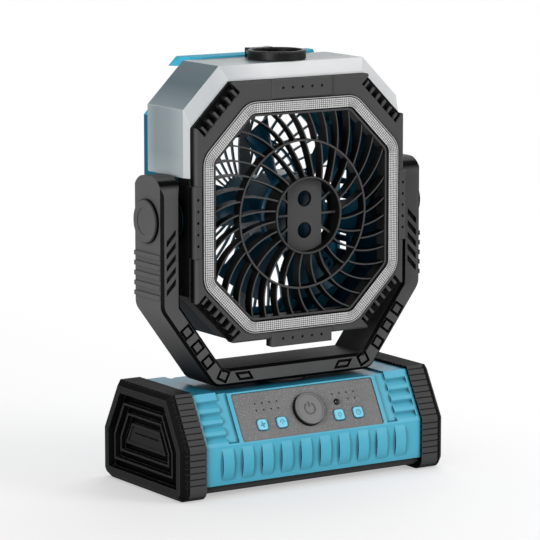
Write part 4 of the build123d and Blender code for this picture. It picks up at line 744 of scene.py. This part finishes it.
def powerSign(mesh, look):
    raisedArc(mesh, look)
    middle = look["barShare"] * look["radius"]
    raisedBar(mesh, (0, middle), (look["pen"], look["radius"]), look["height"])


def buttonFace(name):
    # middle of the foremost edge of a button
    rim = foremost(name, outward)
    low = Vector([min(point[i] for point in rim) for i in range(3)])
    high = Vector([max(point[i] for point in rim) for i in range(3)])
    return (low + high) / 2


def faceSign(name, node, draw, look, material):
    mesh = bmesh.new()
    draw(mesh, look)
    bmesh.ops.recalc_face_normals(mesh, faces=mesh.faces)
    stand = Matrix((across, upSlope, outward)).transposed().to_4x4()
    middle = buttonFace(node) - outward * look["sink"]
    bmesh.ops.transform(mesh, matrix=Matrix.Translation(middle) @ stand, verts=mesh.verts)
    addPiece(name, mesh, material, node + "_key")


faceSign("fanSign", "fan_button", fanSign, fanShape, signBlue)
faceSign("swingSign", "swing_button", swingSign, swingShape, signBlue)
faceSign("lampSign", "light_button", lampSign, lampShape, signBlue)
faceSign("clockSign", "timer_button", clockSign, clockShape, signBlue)
faceSign("powerSign", "main_button", powerSign, powerShape, powerGrey)
print("button signs added")

# Thin dark crosses on the screw heads, painted shade standing in for their recesses
crossShape = dict(length=3.0 * mm, width=0.75 * mm, height=0.05 * mm)


def screwSpots(node, out):
    # the four screws stand one in each quarter of the node's box
    rim = foremost(node, out)
    middle = middleOf(node)
    second = Vector((0, 0, 1)) if abs(out.y) > 0.5 else Vector((0, 1, 0))
    spots = []
    for x in (-1, 1):
        for y in (-1, 1):
            one = [p for p in rim if (p.x - middle.x) * x > 0 and (p - middle).dot(second) * y > 0]
            spots.append(sum(one, Vector()) / len(one))
    return spots


def screwCrosses(name, node, out, body, look):
    mesh = bmesh.new()
    turn = out.to_track_quat("Z", "Y").to_matrix().to_4x4()
    for spot in screwSpots(node, out):
        before = set(mesh.verts)
        for angle in (0, math.pi / 2):
            raisedBar(mesh, (0, 0), (look["length"], look["width"]), look["height"], angle)
        added = [vertex for vertex in mesh.verts if vertex not in before]
        bmesh.ops.transform(mesh, matrix=Matrix.Translation(spot) @ turn, verts=added)
    bmesh.ops.recalc_face_normals(mesh, faces=mesh.faces)
    addPiece(name, mesh, hookDark, body)


screwCrosses("headScrewCrosses", "head_screws", Vector((0, 1, 0)), "head", crossShape)
screwCrosses("baseScrewCrosses", "base_screws", Vector((0, 0, -1)), "base", crossShape)
print("screw crosses added")

# Floor, in metres
floorLook = dict(size=24.0, near=0.45, far=1.6, lit=0.62, glow=0.56, reach=0.3, shade=0.8, bounce=0.8)


def paleFloor(look):
    mesh = bmesh.new()
    bmesh.ops.create_grid(mesh, x_segments=1, y_segments=1, size=look["size"] / 2)
    data = bpy.data.meshes.new("paleFloor")
    mesh.to_mesh(data)
    mesh.free()
    data.materials.append(floorPaint(look))
    floor = bpy.data.objects.new("paleFloor", data)
    scene.collection.objects.link(floor)
    return floor


def floorPaint(look):
    # near the object the floor takes its shadow, and further out it goes over to plain white
    material = bpy.data.materials.new("floorPaint")
    paint = Nodes(material)
    paint.tree.nodes.clear()
    length = paint.add("ShaderNodeVectorMath", operation="LENGTH")
    paint.join(paint.add("ShaderNodeTexCoord").outputs["Object"], length.inputs[0])
    away = paint.spread(length.outputs["Value"], 0.0, 1.0, look["near"], look["far"],
                        interpolation_type="SMOOTHSTEP")
    lit = paint.add("ShaderNodeBsdfDiffuse", {"Color": linear(look["lit"])})
    glow = paint.add("ShaderNodeEmission")
    # painted shadow: ambient occlusion darkens the glow near the object
    shelter = paint.add("ShaderNodeAmbientOcclusion", {"Distance": look["reach"]})
    soft = paint.spread(shelter.outputs["AO"], look["glow"] * look["shade"], look["glow"], 0.0, 1.0)
    paint.join(soft, glow.inputs["Strength"])
    nearShade = paint.add("ShaderNodeAddShader")
    paint.join(lit.outputs[0], nearShade.inputs[0])
    paint.join(glow.outputs[0], nearShade.inputs[1])
    white = paint.add("ShaderNodeEmission")
    shown = paint.mixShaders(away, nearShade.outputs[0], white.outputs[0])
    # rays that only carry light meet a plain pale floor
    rays = paint.add("ShaderNodeLightPath").outputs
    mirrored = paint.maths("MAXIMUM", rays["Is Glossy Ray"], rays["Is Transmission Ray"])
    seen = paint.maths("MAXIMUM", rays["Is Camera Ray"], mirrored)
    plain = paint.add("ShaderNodeBsdfDiffuse", {"Color": linear(look["bounce"])})
    out = paint.add("ShaderNodeOutputMaterial")
    paint.join(paint.mixShaders(seen, plain.outputs[0], shown), out.inputs["Surface"])
    return material


floor = paleFloor(floorLook)

# Light
skyLook = dict(level=0.36)


def paleSky(look):
    # white to the camera, and a soft even light on the object
    world = bpy.data.worlds.new("paleSky")
    scene.world = world
    sky = Nodes(world)
    sky.tree.nodes.clear()
    soft = sky.add("ShaderNodeBackground", {"Color": linear(1), "Strength": look["level"]})
    white = sky.add("ShaderNodeBackground", {"Color": linear(1)})
    rays = sky.add("ShaderNodeLightPath").outputs
    out = sky.add("ShaderNodeOutputWorld")
    mixed = sky.mixShaders(rays["Is Camera Ray"], soft.outputs[0], white.outputs[0])
    sky.join(mixed, out.inputs["Surface"])


paleSky(skyLook)

# The left softbox lights the object but not the floor, so the shadow falls to the left
softboxes = {
    "topSoftbox": dict(spot=(0.8, 0.5, 1.4), aim=(0, 0, 0.15), size=(0.9, 0.9), watts=5, onFloor=True),
    "leftSoftbox": dict(spot=(-1.75, -0.8, 0.5), aim=(0, 0, 0.15), size=(0.8, 1.2), watts=36,
                        onFloor=False),
    "rightSoftbox": dict(spot=(1.2, -1.5, 0.9), aim=(0, 0, 0.15), size=(0.9, 1.2), watts=15.5,
                         onFloor=True),
    "backSoftbox": dict(spot=(0.9, 1.5, 0.9), aim=(0, 0, 0.2), size=(0.9, 0.8), watts=4, onFloor=True),
}
for name, box in softboxes.items():
    light = bpy.data.lights.new(name, "AREA")
    light.shape = "RECTANGLE"
    light.size, light.size_y = box["size"]
    light.energy = box["watts"]
    holder = bpy.data.objects.new(name, light)
    holder.location = box["spot"]
    holder.rotation_euler = (Vector(box["aim"]) - Vector(box["spot"])).to_track_quat("-Z", "Y").to_euler()
    scene.collection.objects.link(holder)
    if not box["onFloor"]:
        receivers = bpy.data.collections.new(name + "Receivers")
        receivers.objects.link(floor)
        receivers.collection_objects[0].light_linking.link_state = "EXCLUDE"
        holder.light_linking.receiver_collection = receivers

# Camera, at the photograph's viewing angle: degrees, metres and pixels of its frame
cameraLook = dict(turn=-32.89, rise=9.08, away=2.43608, aim=(0, 0, 0.15695), focalPixels=3287.4,
                  centre=(274.21, 264.16), pixels=540, sensor=36.0, farEnd=100)


def photoCamera(look):
    turn, rise = math.radians(look["turn"]), math.radians(look["rise"])
    back = Vector((math.sin(turn) * math.cos(rise), -math.cos(turn) * math.cos(rise), math.sin(rise)))
    data = bpy.data.cameras.new("photoCamera")
    data.sensor_width = look["sensor"]
    data.lens = look["focalPixels"] / look["pixels"] * look["sensor"]
    half = look["pixels"] / 2
    data.shift_x = (half - look["centre"][0]) / look["pixels"]
    data.shift_y = (look["centre"][1] - half) / look["pixels"]
    data.clip_end = look["farEnd"]
    camera = bpy.data.objects.new("photoCamera", data)
    camera.location = Vector(look["aim"]) + back * look["away"]
    camera.rotation_euler = (-back).to_track_quat("-Z", "Y").to_euler()
    scene.collection.objects.link(camera)
    scene.camera = camera


photoCamera(cameraLook)
scene.view_settings.view_transform = "Standard"
print("floor, light and camera set")
